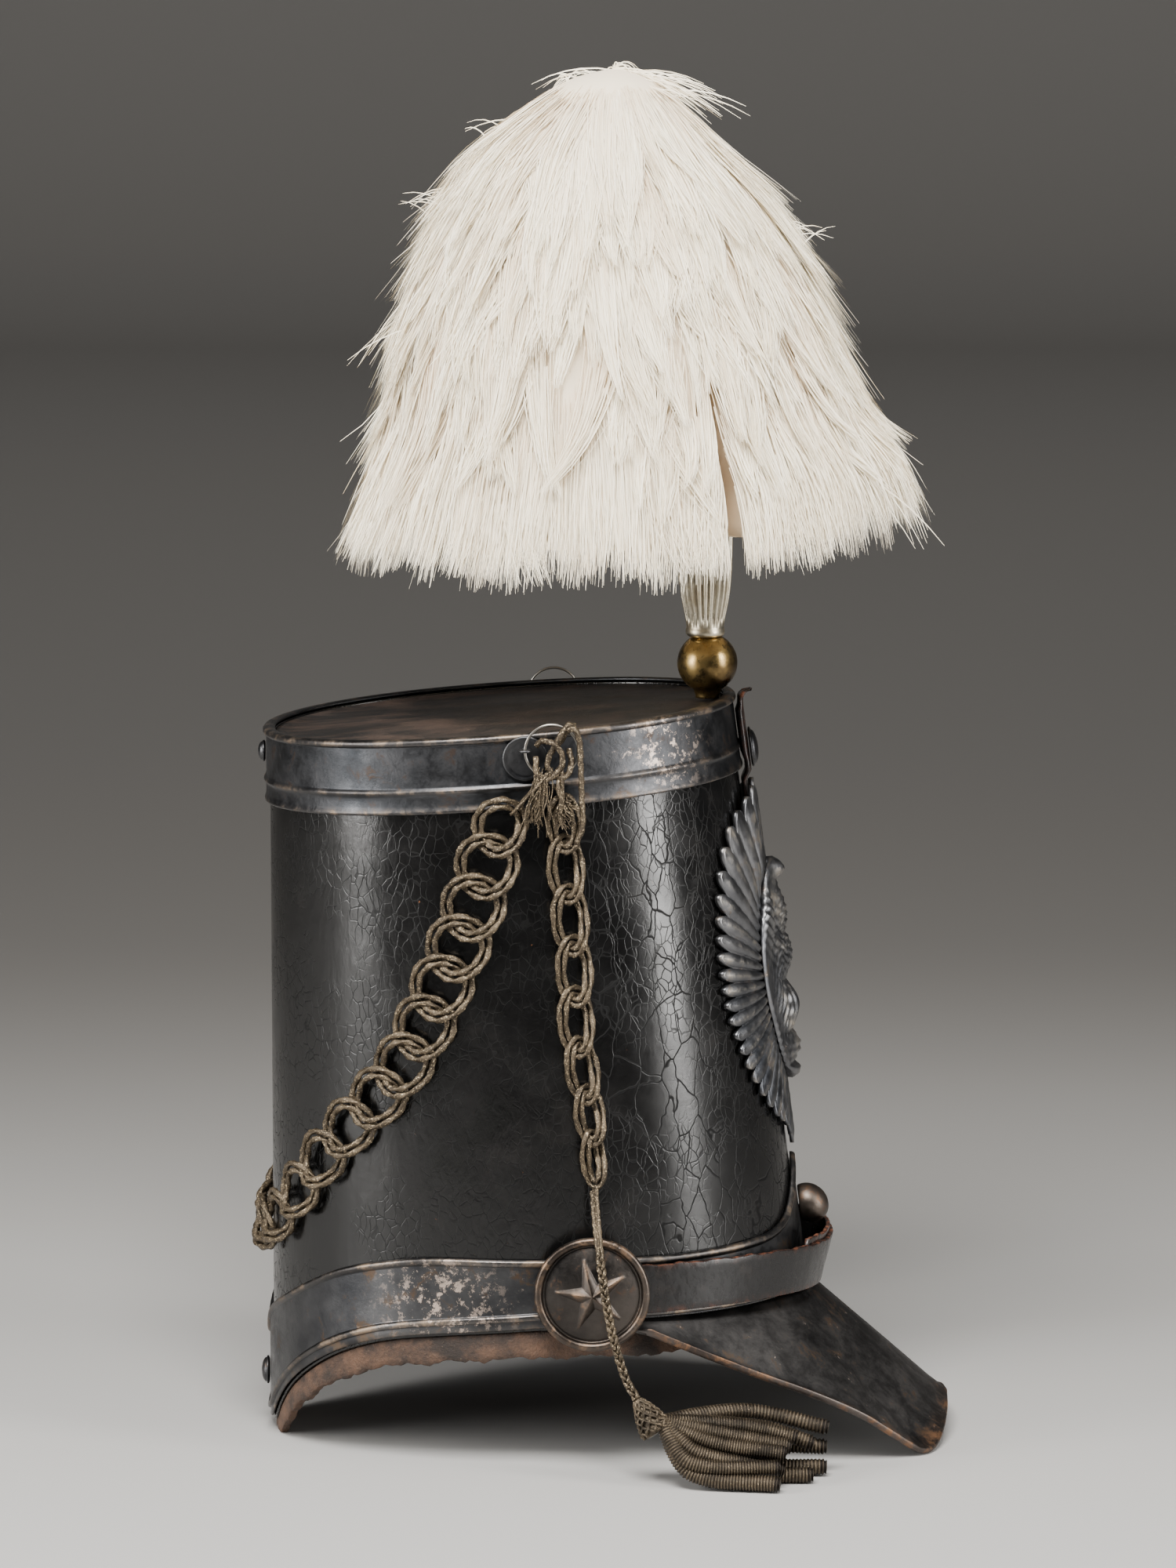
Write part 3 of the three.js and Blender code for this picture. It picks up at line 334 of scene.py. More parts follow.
m_leather = surface("black_leather", black_leather)
m_crown = surface("crown_leather", crown_leather)
m_brown = surface("brown_leather", brown_leather, Roughness=0.85)
m_strap = surface("strap_leather", strap_leather, Specular_IOR_Level=0.36)
m_bands = surface("tarnished_silver", old_silver(
    (0.026, 0.028, 0.031), (0.075, 0.076, 0.08), (0.06, 0.04, 0.029), (0.028, -0.055, 0.279), 0.04),
    Metallic=1.0)
m_foot = surface("foot_silver", old_silver(
    (0.03, 0.031, 0.034), (0.09, 0.09, 0.092), (0.09, 0.058, 0.036), (-0.058, -0.076, 0.066), 0.05),
    Metallic=1.0)
m_peak = surface("peak_metal", old_silver(
    (0.034, 0.033, 0.033), (0.1, 0.095, 0.092), (0.095, 0.064, 0.043), rough=(0.4, 0.6),
    rubbed=(0.28, 0.15, 0.08), many=(0.46, 0.62)), Metallic=1.0)
m_plate = surface("plate_silver", old_silver(
    (0.055, 0.059, 0.068), (0.19, 0.19, 0.195), (0.12, 0.095, 0.075), rubbed=(0.55, 0.5, 0.42),
    many=(0.36, 0.56)), Metallic=1.0)
m_stud = surface("stud_metal", old_silver(
    (0.04, 0.036, 0.034), (0.11, 0.09, 0.075), (0.15, 0.08, 0.045), many=(0.3, 0.5)), Metallic=1.0)
m_star = surface("rosette_metal", old_silver(
    (0.026, 0.024, 0.023), (0.085, 0.074, 0.066), (0.09, 0.055, 0.036), rubbed=(0.34, 0.22, 0.14)),
    Metallic=1.0)
m_brass = surface("ball_brass", brass, Metallic=1.0)
m_pale = surface("socket_silver", pale_silver, Metallic=1.0)
m_steel = surface("ring_steel", steel, Metallic=1.0, Roughness=0.32)
m_bullion = surface("bullion_cord", bullion(
    (0.032, 0.023, 0.014), (0.1, 0.075, 0.047), (0.6, 0.47, 0.3)), Metallic=0.6)
m_tassel = surface("bullion_coils", bullion(
    (0.03, 0.024, 0.017), (0.13, 0.1, 0.066), (0.7, 0.52, 0.32), (0.62, 0.72)), Metallic=0.75)
m_feather = surface("white_feather", feather, Roughness=0.75, Sheen_Weight=0.25)


# Mesh building

def build(name, points, faces, material, node=None, slot=None, mark=None):
    """A mesh of points in millimetres; faces is one array, or a list of arrays of equal-sided faces."""
    points = np.asarray(points, float).reshape(-1, 3)
    faces = [np.asarray(f) for f in (faces if isinstance(faces, list) else [faces])]
    me = bpy.data.meshes.new(name)
    me.vertices.add(len(points))
    me.vertices.foreach_set("co", (points * MM).ravel())
    corners = np.concatenate([f.ravel() for f in faces]).astype(np.int32)
    sides = np.concatenate([np.full(len(f), f.shape[1]) for f in faces])
    starts = np.concatenate([[0], np.cumsum(sides)[:-1]]).astype(np.int32)
    me.loops.add(len(corners))
    me.loops.foreach_set("vertex_index", corners)
    me.polygons.add(len(sides))
    me.polygons.foreach_set("loop_start", starts)
    me.polygons.foreach_set("use_smooth", np.full(len(sides), True))
    me.update(calc_edges=True)
    if mark is not None:
        values = np.repeat(np.asarray(mark, float).reshape(-1, 1), 4, 1)
        layer = me.attributes.new("mark", "FLOAT_COLOR", "POINT")
        layer.data.foreach_set("color", values.ravel())
    me.materials.append(material)
    obj = bpy.data.objects.new(name, me)
    bpy.context.scene.collection.objects.link(obj)
    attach(obj, "root")
    if node:
        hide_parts(node)
    return obj


def grid_faces(rows, cols, round_rows=False, round_cols=False, start=0):
    """Quads of a grid of points, rows by cols."""
    i = np.arange(rows if round_rows else rows - 1)[:, None]
    k = np.arange(cols if round_cols else cols - 1)[None, :]
    i2, k2 = (i + 1) % rows, (k + 1) % cols
    quads = np.stack([i * cols + k, i * cols + k2, i2 * cols + k2, i2 * cols + k], -1)
    return quads.reshape(-1, 4) + start


def facing_out(points, faces):
    """The faces turned so that the closed body they bound faces out."""
    volume = 0.0
    for f in faces:
        for j in range(1, f.shape[1] - 1):
            a, b, c = points[f[:, 0]], points[f[:, j]], points[f[:, j + 1]]
            volume += np.einsum("ij,ij->i", a, np.cross(b, c)).sum()
    return [f[:, ::-1] for f in faces] if volume < 0 else faces


def closed(rings, loop=False):
    """Points and faces of a body through rings of points, an array (rings, sides, 3)."""
    rings = np.asarray(rings, float)
    n, sides = rings.shape[:2]
    points = rings.reshape(-1, 3)
    faces = [grid_faces(n, sides, loop, True)]
    if not loop:
        points = np.vstack([points, rings[0].mean(0), rings[-1].mean(0)])
        k = np.arange(sides)
        k2 = (k + 1) % sides
        first, last = n * sides, n * sides + 1
        top = (n - 1) * sides
        faces.append(np.stack([np.full(sides, first), k2, k], -1))
        faces.append(np.stack([np.full(sides, last), top + k, top + k2], -1))
    return points, facing_out(points, faces)


def body(name, rings, material, loop=False, mark=None, **rest):
    points, faces = closed(rings, loop)
    if mark is not None:
        mark = np.asarray(mark, float).ravel()
        mark = np.concatenate([mark, np.zeros(len(points) - len(mark))])
    return build(name, points, faces, material, mark=mark, **rest)


def joined(parts):
    """Several (points, faces) as one."""
    points, faces, start = [], [], 0
    for p, fs in parts:
        points.append(p)
        faces += [f + start for f in fs]
        start += len(p)
    merged = {}
    for f in faces:
        merged.setdefault(f.shape[1], []).append(f)
    return np.vstack(points), [np.vstack(v) for v in merged.values()]


def rounded(section, times=2):
    """A closed section (..., corners, 2) with its corners cut."""
    for _ in range(times):
        after = np.roll(section, -1, -2)
        cut = np.stack([section * 0.75 + after * 0.25, section * 0.25 + after * 0.75], -2)
        section = cut.reshape(*section.shape[:-2], -1, 2)
    return section


def along(rows, x):
    """Value at x in rows of (x, value), eased as in the solids."""
    rows = np.asarray(rows, float)
    xs, vs = rows[:, 0], rows[:, 1]
    x = np.clip(np.asarray(x, float), xs[0], xs[-1])
    slope = np.empty(len(xs))
    slope[1:-1] = (vs[2:] - vs[:-2]) / (xs[2:] - xs[:-2])
    slope[0] = (vs[1] - vs[0]) / (xs[1] - xs[0])
    slope[-1] = (vs[-1] - vs[-2]) / (xs[-1] - xs[-2])
    i = np.clip(np.searchsorted(xs, x, side="right") - 1, 0, len(xs) - 2)
    h = xs[i + 1] - xs[i]
    t = (x - xs[i]) / h
    a = 2 * t ** 3 - 3 * t ** 2 + 1
    b = t ** 3 - 2 * t ** 2 + t
    return a * vs[i] + b * h * slope[i] + (1 - a) * vs[i + 1] + (t ** 3 - t ** 2) * h * slope[i + 1]


def smooth(low, high, v):
    t = np.clip((v - low) / (high - low), 0, 1)
    return t * t * (3 - 2 * t)


def circle(steps):
    """Angles evenly round a turn."""
    return np.linspace(0, TAU, steps, endpoint=False)


# Shape of the head, as in the solids

def head_oval(z):
    rise = (z - LEVEL_LOW) / (LEVEL_HIGH - LEVEL_LOW)
    front = FRONT_LOW + (FRONT_HIGH - FRONT_LOW) * rise
    return (front + BACK) / 2, (front - BACK) / 2, HALF_LOW + (HALF_HIGH - HALF_LOW) * rise


def on_head(t, z, off):
    t, z, off = np.broadcast_arrays(np.asarray(t, float), z, off)
    middle, a, b = head_oval(z)
    c, s = np.cos(t), np.sin(t)
    x = middle + SHIFT_X + (a + off) * np.sign(c) * np.abs(c) ** (2 / POWER)
    y = (b + off) * np.sign(s) * np.abs(s) ** (2 / POWER)
    return np.stack([x, y, z], -1)


def front_angle(y, z, off):
    b = head_oval(z)[2] + off
    share = np.clip(y / b, -1, 1)
    return np.arcsin(np.sign(share) * np.abs(share) ** (POWER / 2))


def side_angle(x, z, off):
    """Angle from the front, on the wearer's left, at which the face lies at x."""
    middle, a, _ = head_oval(z)
    c = np.clip((x - SHIFT_X - middle) / (a + off), -1, 1)
    return np.arccos(np.sign(c) * np.abs(c) ** (POWER / 2))


NAPE_LOW = [(0, 1), (8, .93), (14, .8), (23, .6), (34, .4), (45, .24), (56, .13), (68, .065), (90, 0)]
NAPE_TOP = [(0, 1), (8, .79), (14, .68), (23, .54), (34, .36), (45, .19), (56, .08), (68, .01), (90, 0)]
FRONTLET = [(0, 1), (5, .83), (9, .66), (14, .44), (20, .22), (28, .09), (38, .04), (60, 0)]


def from_front(t):
    d = np.abs(np.degrees(t)) % 360
    return np.where(d > 180, 360 - d, d)


def band_bead(t):
    return BEAD_SIDE_Z - (BEAD_SIDE_Z - BEAD_NAPE_Z) * along(NAPE_LOW, 180 - from_front(t))


def band_margin(t):
    return PEAK_MARGIN + (BEAD_MARGIN - PEAK_MARGIN) * smooth(72, 88, from_front(t))


def band_low(t):
    return band_bead(t) - band_margin(t)


def band_top(t):
    d = from_front(t)
    return (BAND_SIDE_TOP - (BAND_SIDE_TOP - BAND_NAPE_TOP) * along(NAPE_TOP, 180 - d)
            + (FRONTLET_TOP - BAND_SIDE_TOP) * along(FRONTLET, d))


def sweat_low(t):
    return np.maximum(0, SWEAT_SIDE_LOW - (SWEAT_SIDE_LOW + FOOT_FLAT) * along(NAPE_LOW, 180 - from_front(t)))


def rim_z(x):
    return RIM_BACK_Z + RIM_SLOPE * (x - SHIFT_X - BACK)


def rim_at(t):
    return rim_z(on_head(t, 285.0, 0)[..., 0])


def round_head(name, section, material, steps=220, cuts=2, marks=None, **rest):
    """Wall right round the head; section(t) gives (off, z) corners, and marks how rubbed each is."""
    t = circle(steps)
    corners = np.stack([np.stack(np.broadcast_arrays(off, z, 0 * t)[:2], -1) for off, z in section(t)], 1)
    mark = None
    if marks is not None:
        painted = np.broadcast_to(np.asarray(marks, float)[None, :, None], corners.shape)
        mark = rounded(painted, cuts)[..., 0]
    corners = rounded(corners, cuts)
    rings = on_head(t[:, None], corners[..., 1], corners[..., 0])
    return body(name, rings, material, loop=True, mark=mark, **rest)


def shell_section(t):
    low, top = band_low(t) - SHELL_BELOW_BAND, rim_at(t) - 1.6
    return [(0, low), (0, low + 1), (0, (low + top) / 2), (0, top - 1), (0, top),
            (-WALL, top), (-WALL, top - 1), (-WALL, (low + top) / 2), (-WALL, low + 1), (-WALL, low)]


round_head("shell_look", shell_section, m_leather, cuts=1, node="shell", slot="black_leather")


def crown_band_section(t):
    top = rim_at(t)
    low = top - CROWN_BAND_HEIGHT
    return [(GAP, low), (GAP + 1.6, low - 0.2), (GAP + 1.9, low + 0.9), (GAP + 1.3, low + 2.2),
            (GAP + 1.2, low + 6.2), (GAP + 1.4, low + 7.2), (BEAD + 0.2, low + 8.4), (GAP + 1.3, low + 9.7),
            (GAP + SHEET, low + 10.4), (GAP + SHEET, top - 3.2), (GAP + SHEET, top - 2.9),
            (BEAD + 0.3, top - 2.2), (BEAD + 0.2, top - 0.4), (0.6, top + 0.2), (-WALL, top - 0.2),
            (-WALL + 0.2, top - 1.2), (GAP, top - 1.3), (GAP, top - 3)]


round_head("crown_band_look", crown_band_section, m_bands, cuts=1, node="crown_band", slot="tarnished_silver",
           marks=[0, .6, .8, 0, 0, 0, 1, 0, 0, 0, 0, .8, 1, .5, 0, 0, 0, 0])


def base_band_section(t):
    low, top, bead = band_low(t), band_top(t), band_bead(t)
    root = np.minimum(1.7, band_margin(t) - 0.2)
    return [(GAP, low), (GAP + SHEET, low - 0.1), (GAP + SHEET, bead - root),
            (GAP + SHEET, bead - root * 0.8), (BEAD + 0.1, bead - root * 0.6), (BEAD + 0.1, bead + 1),
            (GAP + SHEET, bead + 1.5), (GAP + SHEET, bead + 1.9), (GAP + SHEET, (low + top) / 2),
            (GAP + SHEET, top - 3.4), (GAP + SHEET, top - 2.9), (BEAD + 0.1, top - 2),
            (BEAD + 0.1, top - 0.4), (GAP + SHEET, top + 0.2), (GAP, top), (GAP, (low + top) / 2)]


round_head("base_band_look", base_band_section, m_foot, cuts=1, node="base_band", slot="tarnished_silver",
           marks=[.3, .5, 0, 0, 1, 1, 0, 0, 0, 0, 0, .7, 1, .3, 0, 0])


def sweat_section(t):
    low = sweat_low(t)
    rag = (0.5 * np.sin(23 * t + 1.3 + np.sin(7 * t)) + 0.45 * np.sin(61 * t + 2 * np.sin(11 * t))
           + 0.3 * np.sin(149 * t + 3 * np.sin(17 * t)))
    low = np.where(low > 0.6, low + rag, low)
    hem = band_low(t) - SHELL_BELOW_BAND - GAP - 0.2
    inner = -WALL - GAP - 2
    top = np.maximum(hem + 8, low + SWEAT_HEIGHT)
    return [(inner + 0.3, low), (-1.4, low), (-0.7, low + 0.5), (-0.7, hem - 0.4), (-1.2, hem),
            (-WALL - GAP, hem + 0.3), (-WALL - GAP - 0.1, hem + 6), (-WALL - GAP - 0.2, top), (inner, top),
            (inner, low + 2)]


round_head("sweat_look", sweat_section, m_brown, steps=360, cuts=1, node="sweat_leather",
           slot="brown_leather")

# Crown top, a little uneven inside the rim
TOP_ROWS = [
    # share of the way out, depth below the rim
    (.02, 2.2), (.15, 2.3), (.3, 2.1), (.45, 2.4), (.6, 2.5), (.75, 2.8), (.88, 3.1), (.95, 2.9), (.98, 2.2),
    (1, 2.3), (.998, 5.4), (.5, 5.4)]
steps = 120
t = circle(steps)
edge = on_head(t, rim_at(t) - 2, -WALL - GAP)
rings = []
for share, sink in TOP_ROWS:
    x = -37.6 + (edge[:, 0] + 37.6) * share
    y = edge[:, 1] * share
    wave = 0.35 * np.sin(x / 13) * np.cos(y / 17 + 1) + 0.25 * np.sin(y / 9 + x / 21) if sink < 5 else 0
    rings.append(np.stack([x, y, rim_z(x) - sink + wave * (1 - share ** 6)], -1))
body("crown_look", rings, m_crown, node="crown_top", slot="crown_leather")

# Peak with its rolled edge
PEAK_EDGE = np.array([
    # degrees from the front, x, y, z
    [0, 134.8, 0, 12.2], [6, 134, 19, 9.8], [12, 131.4, 37, 4.9], [17, 127.6, 49, 1.7],
    [22, 122.4, 56, 2.5], [28, 113, 63, 9.6], [36, 99, 69.5, 19.6], [46, 80, 75.4, 29.2],
    [57, 58, 80.4, 38.4], [68, 36, 83.9, 48], [78, 18, 86.2, 56.2]])
share = np.linspace(-1, 1, 141)
d = np.abs(share) * 78
t = np.radians(78 * share)
edge = np.stack([along(PEAK_EDGE[:, [0, c]], d) for c in (1, 2, 3)], -1)
edge[:, 0] += SHIFT_X
edge[:, 1] *= np.sign(share)
root = on_head(t, band_low(t) - 0.8, GAP + 0.1)
out = edge - root
run = np.maximum(np.hypot(out[:, 0], out[:, 1]), 1e-6)
o = np.stack([out[:, 0] / run, out[:, 1] / run, 0 * run], -1)
slope = out[:, 2] / run
up = np.stack([-slope * o[:, 0], -slope * o[:, 1], np.ones_like(run)], -1)
up /= np.linalg.norm(up, axis=1)[:, None]
ahead = o + np.array([0, 0, 1]) * slope[:, None]
ahead /= np.linalg.norm(ahead, axis=1)[:, None]
small = np.where(run < 6, 0.5, 1.0)


def peak_at(s, lift):
    arch = 0.2 * np.sin(math.pi * s) * np.minimum(1, run / 30)
    return root + (edge - root) * s + up * (lift + arch)[:, None]


rings, mark = [], []
for s in np.linspace(0, 0.9, 10):
    rings.append(peak_at(s, 0 * run))
    mark.append(0 * run)
for angle in np.radians(np.arange(150, -151, -25)):
    roll = 1.45 * small
    rings.append(edge - ahead * (0.6 * small)[:, None]
                 + ahead * (roll * math.cos(angle))[:, None] + up * (roll * math.sin(angle) - 0.35)[:, None])
    mark.append(0 * run + 1)
for s in np.linspace(0.9, 0.1, 8):
    rings.append(peak_at(s, -1.4 + 0 * run))
    mark.append(0 * run)
rings.append(root - np.array([0, 0, 2]) + o * 0.2)
mark.append(0 * run)
rings = np.stack(rings, 1)
rings[..., 2] = np.maximum(rings[..., 2], 0)
body("peak_look", rings, m_peak, mark=np.stack(mark, 1), node="peak", slot="tarnished_silver")


# Chin strap in two layers
def strap(angle, steps, corners, marks):
    t = np.radians(np.linspace(-angle, angle, steps))
    d = from_front(t)
    flare = along([(0, 1), (12, .93), (24, .72), (36, .42), (50, .14), (64, 0), (90, 0)], d)
    rag = 0.22 * np.sin(41 * t) + 0.16 * np.sin(97 * t + 2)
    section = np.stack([np.stack(np.broadcast_arrays(off, z), -1) for off, z in corners(flare, rag)], 1)
    painted = rounded(np.broadcast_to(np.array(marks, float)[None, :, None], section.shape), 1)[..., 0]
    section = rounded(section, 1)
    points, faces = closed(on_head(t[:, None], section[..., 1], section[..., 0]))
    return points, faces, np.concatenate([painted.ravel(), [0, 0]])


def outer_strap(f, rag):
    low = STRAP_LOW_Z - STRAP_SAG * f ** 2
    top = low + STRAP_WIDTH + rag
    a, b = STRAP_OFF + 2.1 * f, STRAP_OFF + 8.8 * f
    mid = (a + b) / 2
    return [(a, low), (a + 2, low), (a + 2.1, low + 0.5), (mid + 2, (low + top) / 2), (b + 2, top - 0.5),
            (b + 1.9, top), (b + 0.1, top), (b, top - 0.5), (mid, (low + top) / 2), (a, low + 0.5)]


def inner_strap(f, rag):
    tall = STRAP_WIDTH + 1.8
    low = STRAP_LOW_Z + 0.8 - STRAP_SAG * f ** 2
    top = low + tall + rag
    a, b = STRAP_OFF + 2.1 * f, STRAP_OFF + 8.8 * f * tall / STRAP_WIDTH
    return [(a - 1.4, low), (a + 0.3, low), (b + 0.3, top - 0.5), (b + 0.2, top), (b - 1.3, top),
            (b - 1.4, top - 0.5)]


sheets = [strap(84, 200, outer_strap, (.8, .8, 0, 0, 0, .6, .6, 0, 0, 0)),
          strap(21, 60, inner_strap, (0, 0, 0, .8, .8, 0))]
points, faces = joined([sheet[:2] for sheet in sheets])
build("strap_look", points, faces, m_strap, node="chin_strap", slot="black_leather",
      mark=np.concatenate([sheet[2] for sheet in sheets]))


# Rosettes with a five-pointed star
ROSETTE_X, ROSETTE_Z, ROSETTE_FACE = -4.5 + SHIFT_X, 71.8, 89.25
STAR_TIP, STAR_INNER = 15.3, 5


def rosette(side, name, node):
    steps = 180
    a = circle(steps)
    turn = math.radians(31)
    five = (a - turn) / TAU * 5
    close = np.abs(five - np.round(five)) * 2
    tenth = TAU / 10
    star = STAR_TIP * STAR_INNER * math.sin(tenth) / (
        STAR_TIP * np.sin(close * tenth) + STAR_INNER * np.sin((1 - close) * tenth))
    rings, mark = [], []

    def ring(r, h, m=0.0):
        h = np.broadcast_to(h, a.shape)
        y = side * (ROSETTE_FACE + h)
        rings.append(np.stack([ROSETTE_X + r * np.cos(a), y, ROSETTE_Z + r * np.sin(a)], -1))
        mark.append(np.broadcast_to(m, a.shape))

    for r in np.linspace(0.2, 17.9, 60):
        dome = 1.5 + 3.5 * (1 - (r / 18) ** 2)
        rise = np.maximum(0, 1 - r / star)
        ridge = np.exp(-(np.minimum(close, 1) * r / 1.1) ** 2)
        ring(r, dome + 2.4 * rise ** 0.7, smooth(0, 0.08, rise) * (0.2 + 0.8 * ridge))
    ring(18.5, 0.9)
    for angle in np.radians(np.arange(180, -61, -15)):
        ring(20.5 + 1.6 * math.cos(angle), 1.6 + 1.7 * math.sin(angle), 0.75)
    ring(21.2, 0.0)
    ring(8.0, 0.0)
    body(name, rings, m_star, mark=np.array(mark), node=node, slot="tarnished_silver")


rosette(-1, "rosette_right_look", "rosette_right")
rosette(1, "rosette_left_look", "rosette_left")


# Turned pieces
def turned(rows, steps, spot):
    a = circle(steps)
    rings = []
    for r, h in rows:
        rings.append(np.stack(np.broadcast_arrays(*spot(r * np.cos(a), r * np.sin(a), h)), -1))
    return np.array(rings)


def ball_rows(r, centre, low, high, steps):
    a = np.radians(np.linspace(low, high, steps))
    return [(max(0.1, r * math.cos(v)), centre + r * math.sin(v)) for v in a]


STUD_R, STUD_OUT, STUD_Z = 7.8, 4.1, 88.1
stud_rows = [(6.6, GAP), *ball_rows(STUD_R, STUD_OUT, -26, 89, 26)]
body("stud_look", turned(stud_rows, 56, lambda u, v, h: (
    on_head(0, STUD_Z + v, GAP + SHEET)[..., 0] + h, u, STUD_Z + v)),
     m_stud, node="frontlet_stud", slot="tarnished_silver")

button_rows = [(0.85, 0), (0.97, 0.25), (1, 0.7), (0.97, 1), (0.9, 1.1), (0.87, 1.15)]


def button(name, node, r, domed, spot, material=m_foot):
    rows = [(r * k, h) for k, h in button_rows]
    rows += [(r * 0.86 * math.cos(v) + 0.05, 1.15 + domed * math.sin(v))
             for v in np.radians(np.linspace(8, 90, 9))]
    body(name, turned(rows, 40, spot), material, node=node, slot="tarnished_silver")


lean = (FRONT_LOW - FRONT_HIGH) / (LEVEL_HIGH - LEVEL_LOW)
button_face = on_head(0, 269.0, 3.1 + 2.2 + GAP)[0]
button("front_button_look", "front_button", 7.8, 2.2,
       lambda u, v, h: (button_face + h - v * lean, u, 269 + v))
back_face = on_head(math.pi, 265.0, 1.8)[0] - 0.1
button("back_button_top_look", "back_button_top", 4.2, 1.7, lambda u, v, h: (back_face - h, u, 267.4 + v))
button("back_button_low_look", "back_button_low", 5.6, 2, lambda u, v, h: (back_face - h, u, 21 + v))

# Tab at the front with a torn tongue
rows = [
    # height, distance off the shell, half width, thickness
    (234, .7, 8.5, 2.2), (246, .7, 8.5, 2.2), (256.6, .7, 8.5, 2.2), (260.5, 2.6, 8.5, 2.7),
    (264, 2.9, 8.5, 2.4), (268, 1.8, 8.5, 3.5), (283.5, 1.8, 8.5, 3.5), (286, 2.9, 8.5, 2.4),
    (289, 3.4, 7.2, 2.3), (290.6, 5, 5, 1.9), (291.7, 8.2, 3, 1.3)]
rings = []
for z, off, half, thick in rows:
    x = on_head(0, float(z), 0)[0] + off
    section = np.array([(x, -half), (x, half), (x + thick, half), (x + thick, -half)])
    section = rounded(section, 2)
    wave = 0.5 * np.sin(section[:, 1] * 1.3 + z)
    rings.append(np.stack([section[:, 0], section[:, 1], z + wave * (z > 287)], -1))
body("tab_look", rings, m_strap, mark=[np.full(16, 0.9 if row[0] > 289 else 0.1) for row in rows],
     node="front_tab", slot="black_leather")

# Rayed plate
PLATE_OUTLINE = [(0, 79), (16, 76), (30, 73), (42, 66), (56, 57.5), (75, 51.5), (95, 49.5), (115, 50.5),
                 (135, 54), (152, 57), (166, 58), (180, 66)]
PLATE_Z, PLATE_OFF = 178, 1.3
RELIEF_Z, RELIEF_BACK, RELIEF_EDGE = 182, 3.8, 1.2


def plate_lift(y, z):
    return PLATE_OFF + 2.6 * smooth(212, 226, z) * (1 - smooth(12, 28, np.abs(y)))


rays, per = 50, 12
a = circle(rays * per)
d = from_front(a)
phase = (a / TAU * rays) % 1
across = np.abs(phase - np.round(phase)) * 2
reach_tip = along(PLATE_OUTLINE, d)
rings, mark = [], []
for kind in ("face", "back"):
    shares = np.concatenate([np.linspace(0.12, 0.9, 22), [0.93, 0.955, 0.975, 0.988, 1.0]])
    if kind == "back":
        shares = shares[::-5]
    for s in shares:
        round_tip = 0.13 * s ** 3 * (1 - np.sqrt(np.maximum(0, 1 - across ** 2)))
        reach = reach_tip * (s - round_tip * (s > 0.5))
        y, z = reach * np.sin(a), PLATE_Z + reach * np.cos(a)
        twist = 0.16 * np.sin(s * 62 + 9 * across) * smooth(0.4, 0.6, s)
        fold = (np.sqrt(np.maximum(0, 1 - across ** 2)) * 1.75 + twist) * smooth(0.15, 0.45, s) - 0.35
        edge_drop = smooth(0.9, 1.0, s)
        off = plate_lift(y, z) + (1.0 + fold * (1 - 0.55 * edge_drop) if kind == "face" else 0)
        rings.append(on_head(front_angle(y, z, off), z, off))
        mark.append((1 - across) ** 3 * 0.7 if kind == "face" else 0 * a)
body("rays_look", rings, m_plate, mark=np.array(mark), node="plate_rays", slot="tarnished_silver")

# Relief of an eagle over a shield
def hill(y, z, at_y, at_z, wide, tall, power=2):
    return np.exp(-((y - at_y) / wide) ** power - ((z - at_z) / tall) ** power)


RELIEF_OUTLINE = [(0, 44), (14, 40), (24, 34), (40, 31), (60, 28), (90, 26), (120, 27.5), (140, 31),
                  (160, 38), (180, 44)]
RELIEF_BUMPS = [(0, 205, 9, 15, 6.6), (15, 206, 8, 14, 2.4), (-15, 206, 8, 14, 2.4), (0, 221, 4.5, 5, 6.2),
                (0, 189, 10, 13, 6.8), (0, 168, 11, 11, 6.6), (0, 152, 9, 7, 5.6),
                (0, 142, 9, 4, 4.4), (13, 172, 5, 12, 1.6), (-13, 172, 5, 12, 1.6)]
a = circle(200)
reach_edge = along(RELIEF_OUTLINE, from_front(a))
rings, mark = [], []
shares = list(np.linspace(0.02, 0.95, 60)) + [0.97, 0.985, 1.0]
for s in shares + [-0.995, -0.5]:
    y, z = reach_edge * abs(s) * np.sin(a), RELIEF_Z + reach_edge * abs(s) * np.cos(a)
    if s < 0:
        off = RELIEF_BACK + 0 * a
    else:
        high = 0 * a
        for by, bz, sy, sz, h in RELIEF_BUMPS:
            high = np.maximum(high, h * hill(y, z, by, bz, sy, sz))
        apart = np.abs(y)
        wing = hill(apart, z, 15, 206, 8.5, 13)
        plumes = np.sin((z - apart * 0.7) * 1.35) * 0.75 * wing
        breast = np.sin(z * 2.1 + np.cos(y * 1.1) * 1.2) * np.cos(y * 1.5) * 0.7 * hill(y, z, 0, 200, 9, 16)
        bars = np.sin(y * 1.7) * 0.65 * hill(y, z, 0, 166, 9, 9, 4)
        leaves = np.sin(z * 1.2 + apart * 1.6) * 0.8 * hill(apart, z, 13, 165, 6, 22)
        leaves = leaves + 0.45 * np.sin(z * 1.9) * hill(y, z, 0, 148, 10, 9)
        rim = RELIEF_EDGE * (1 - 0.8 * smooth(0.96, 1.0, s))
        off = RELIEF_BACK + rim + high + plumes + breast + bars + leaves
    rise = plate_lift(y, z) - PLATE_OFF
    rings.append(on_head(front_angle(y, z, off), z, off + rise))
    mark.append(smooth(4, 9, off) * 0.5)
body("relief_look", rings, m_plate, mark=np.array(mark), node="plate_relief", slot="tarnished_silver")


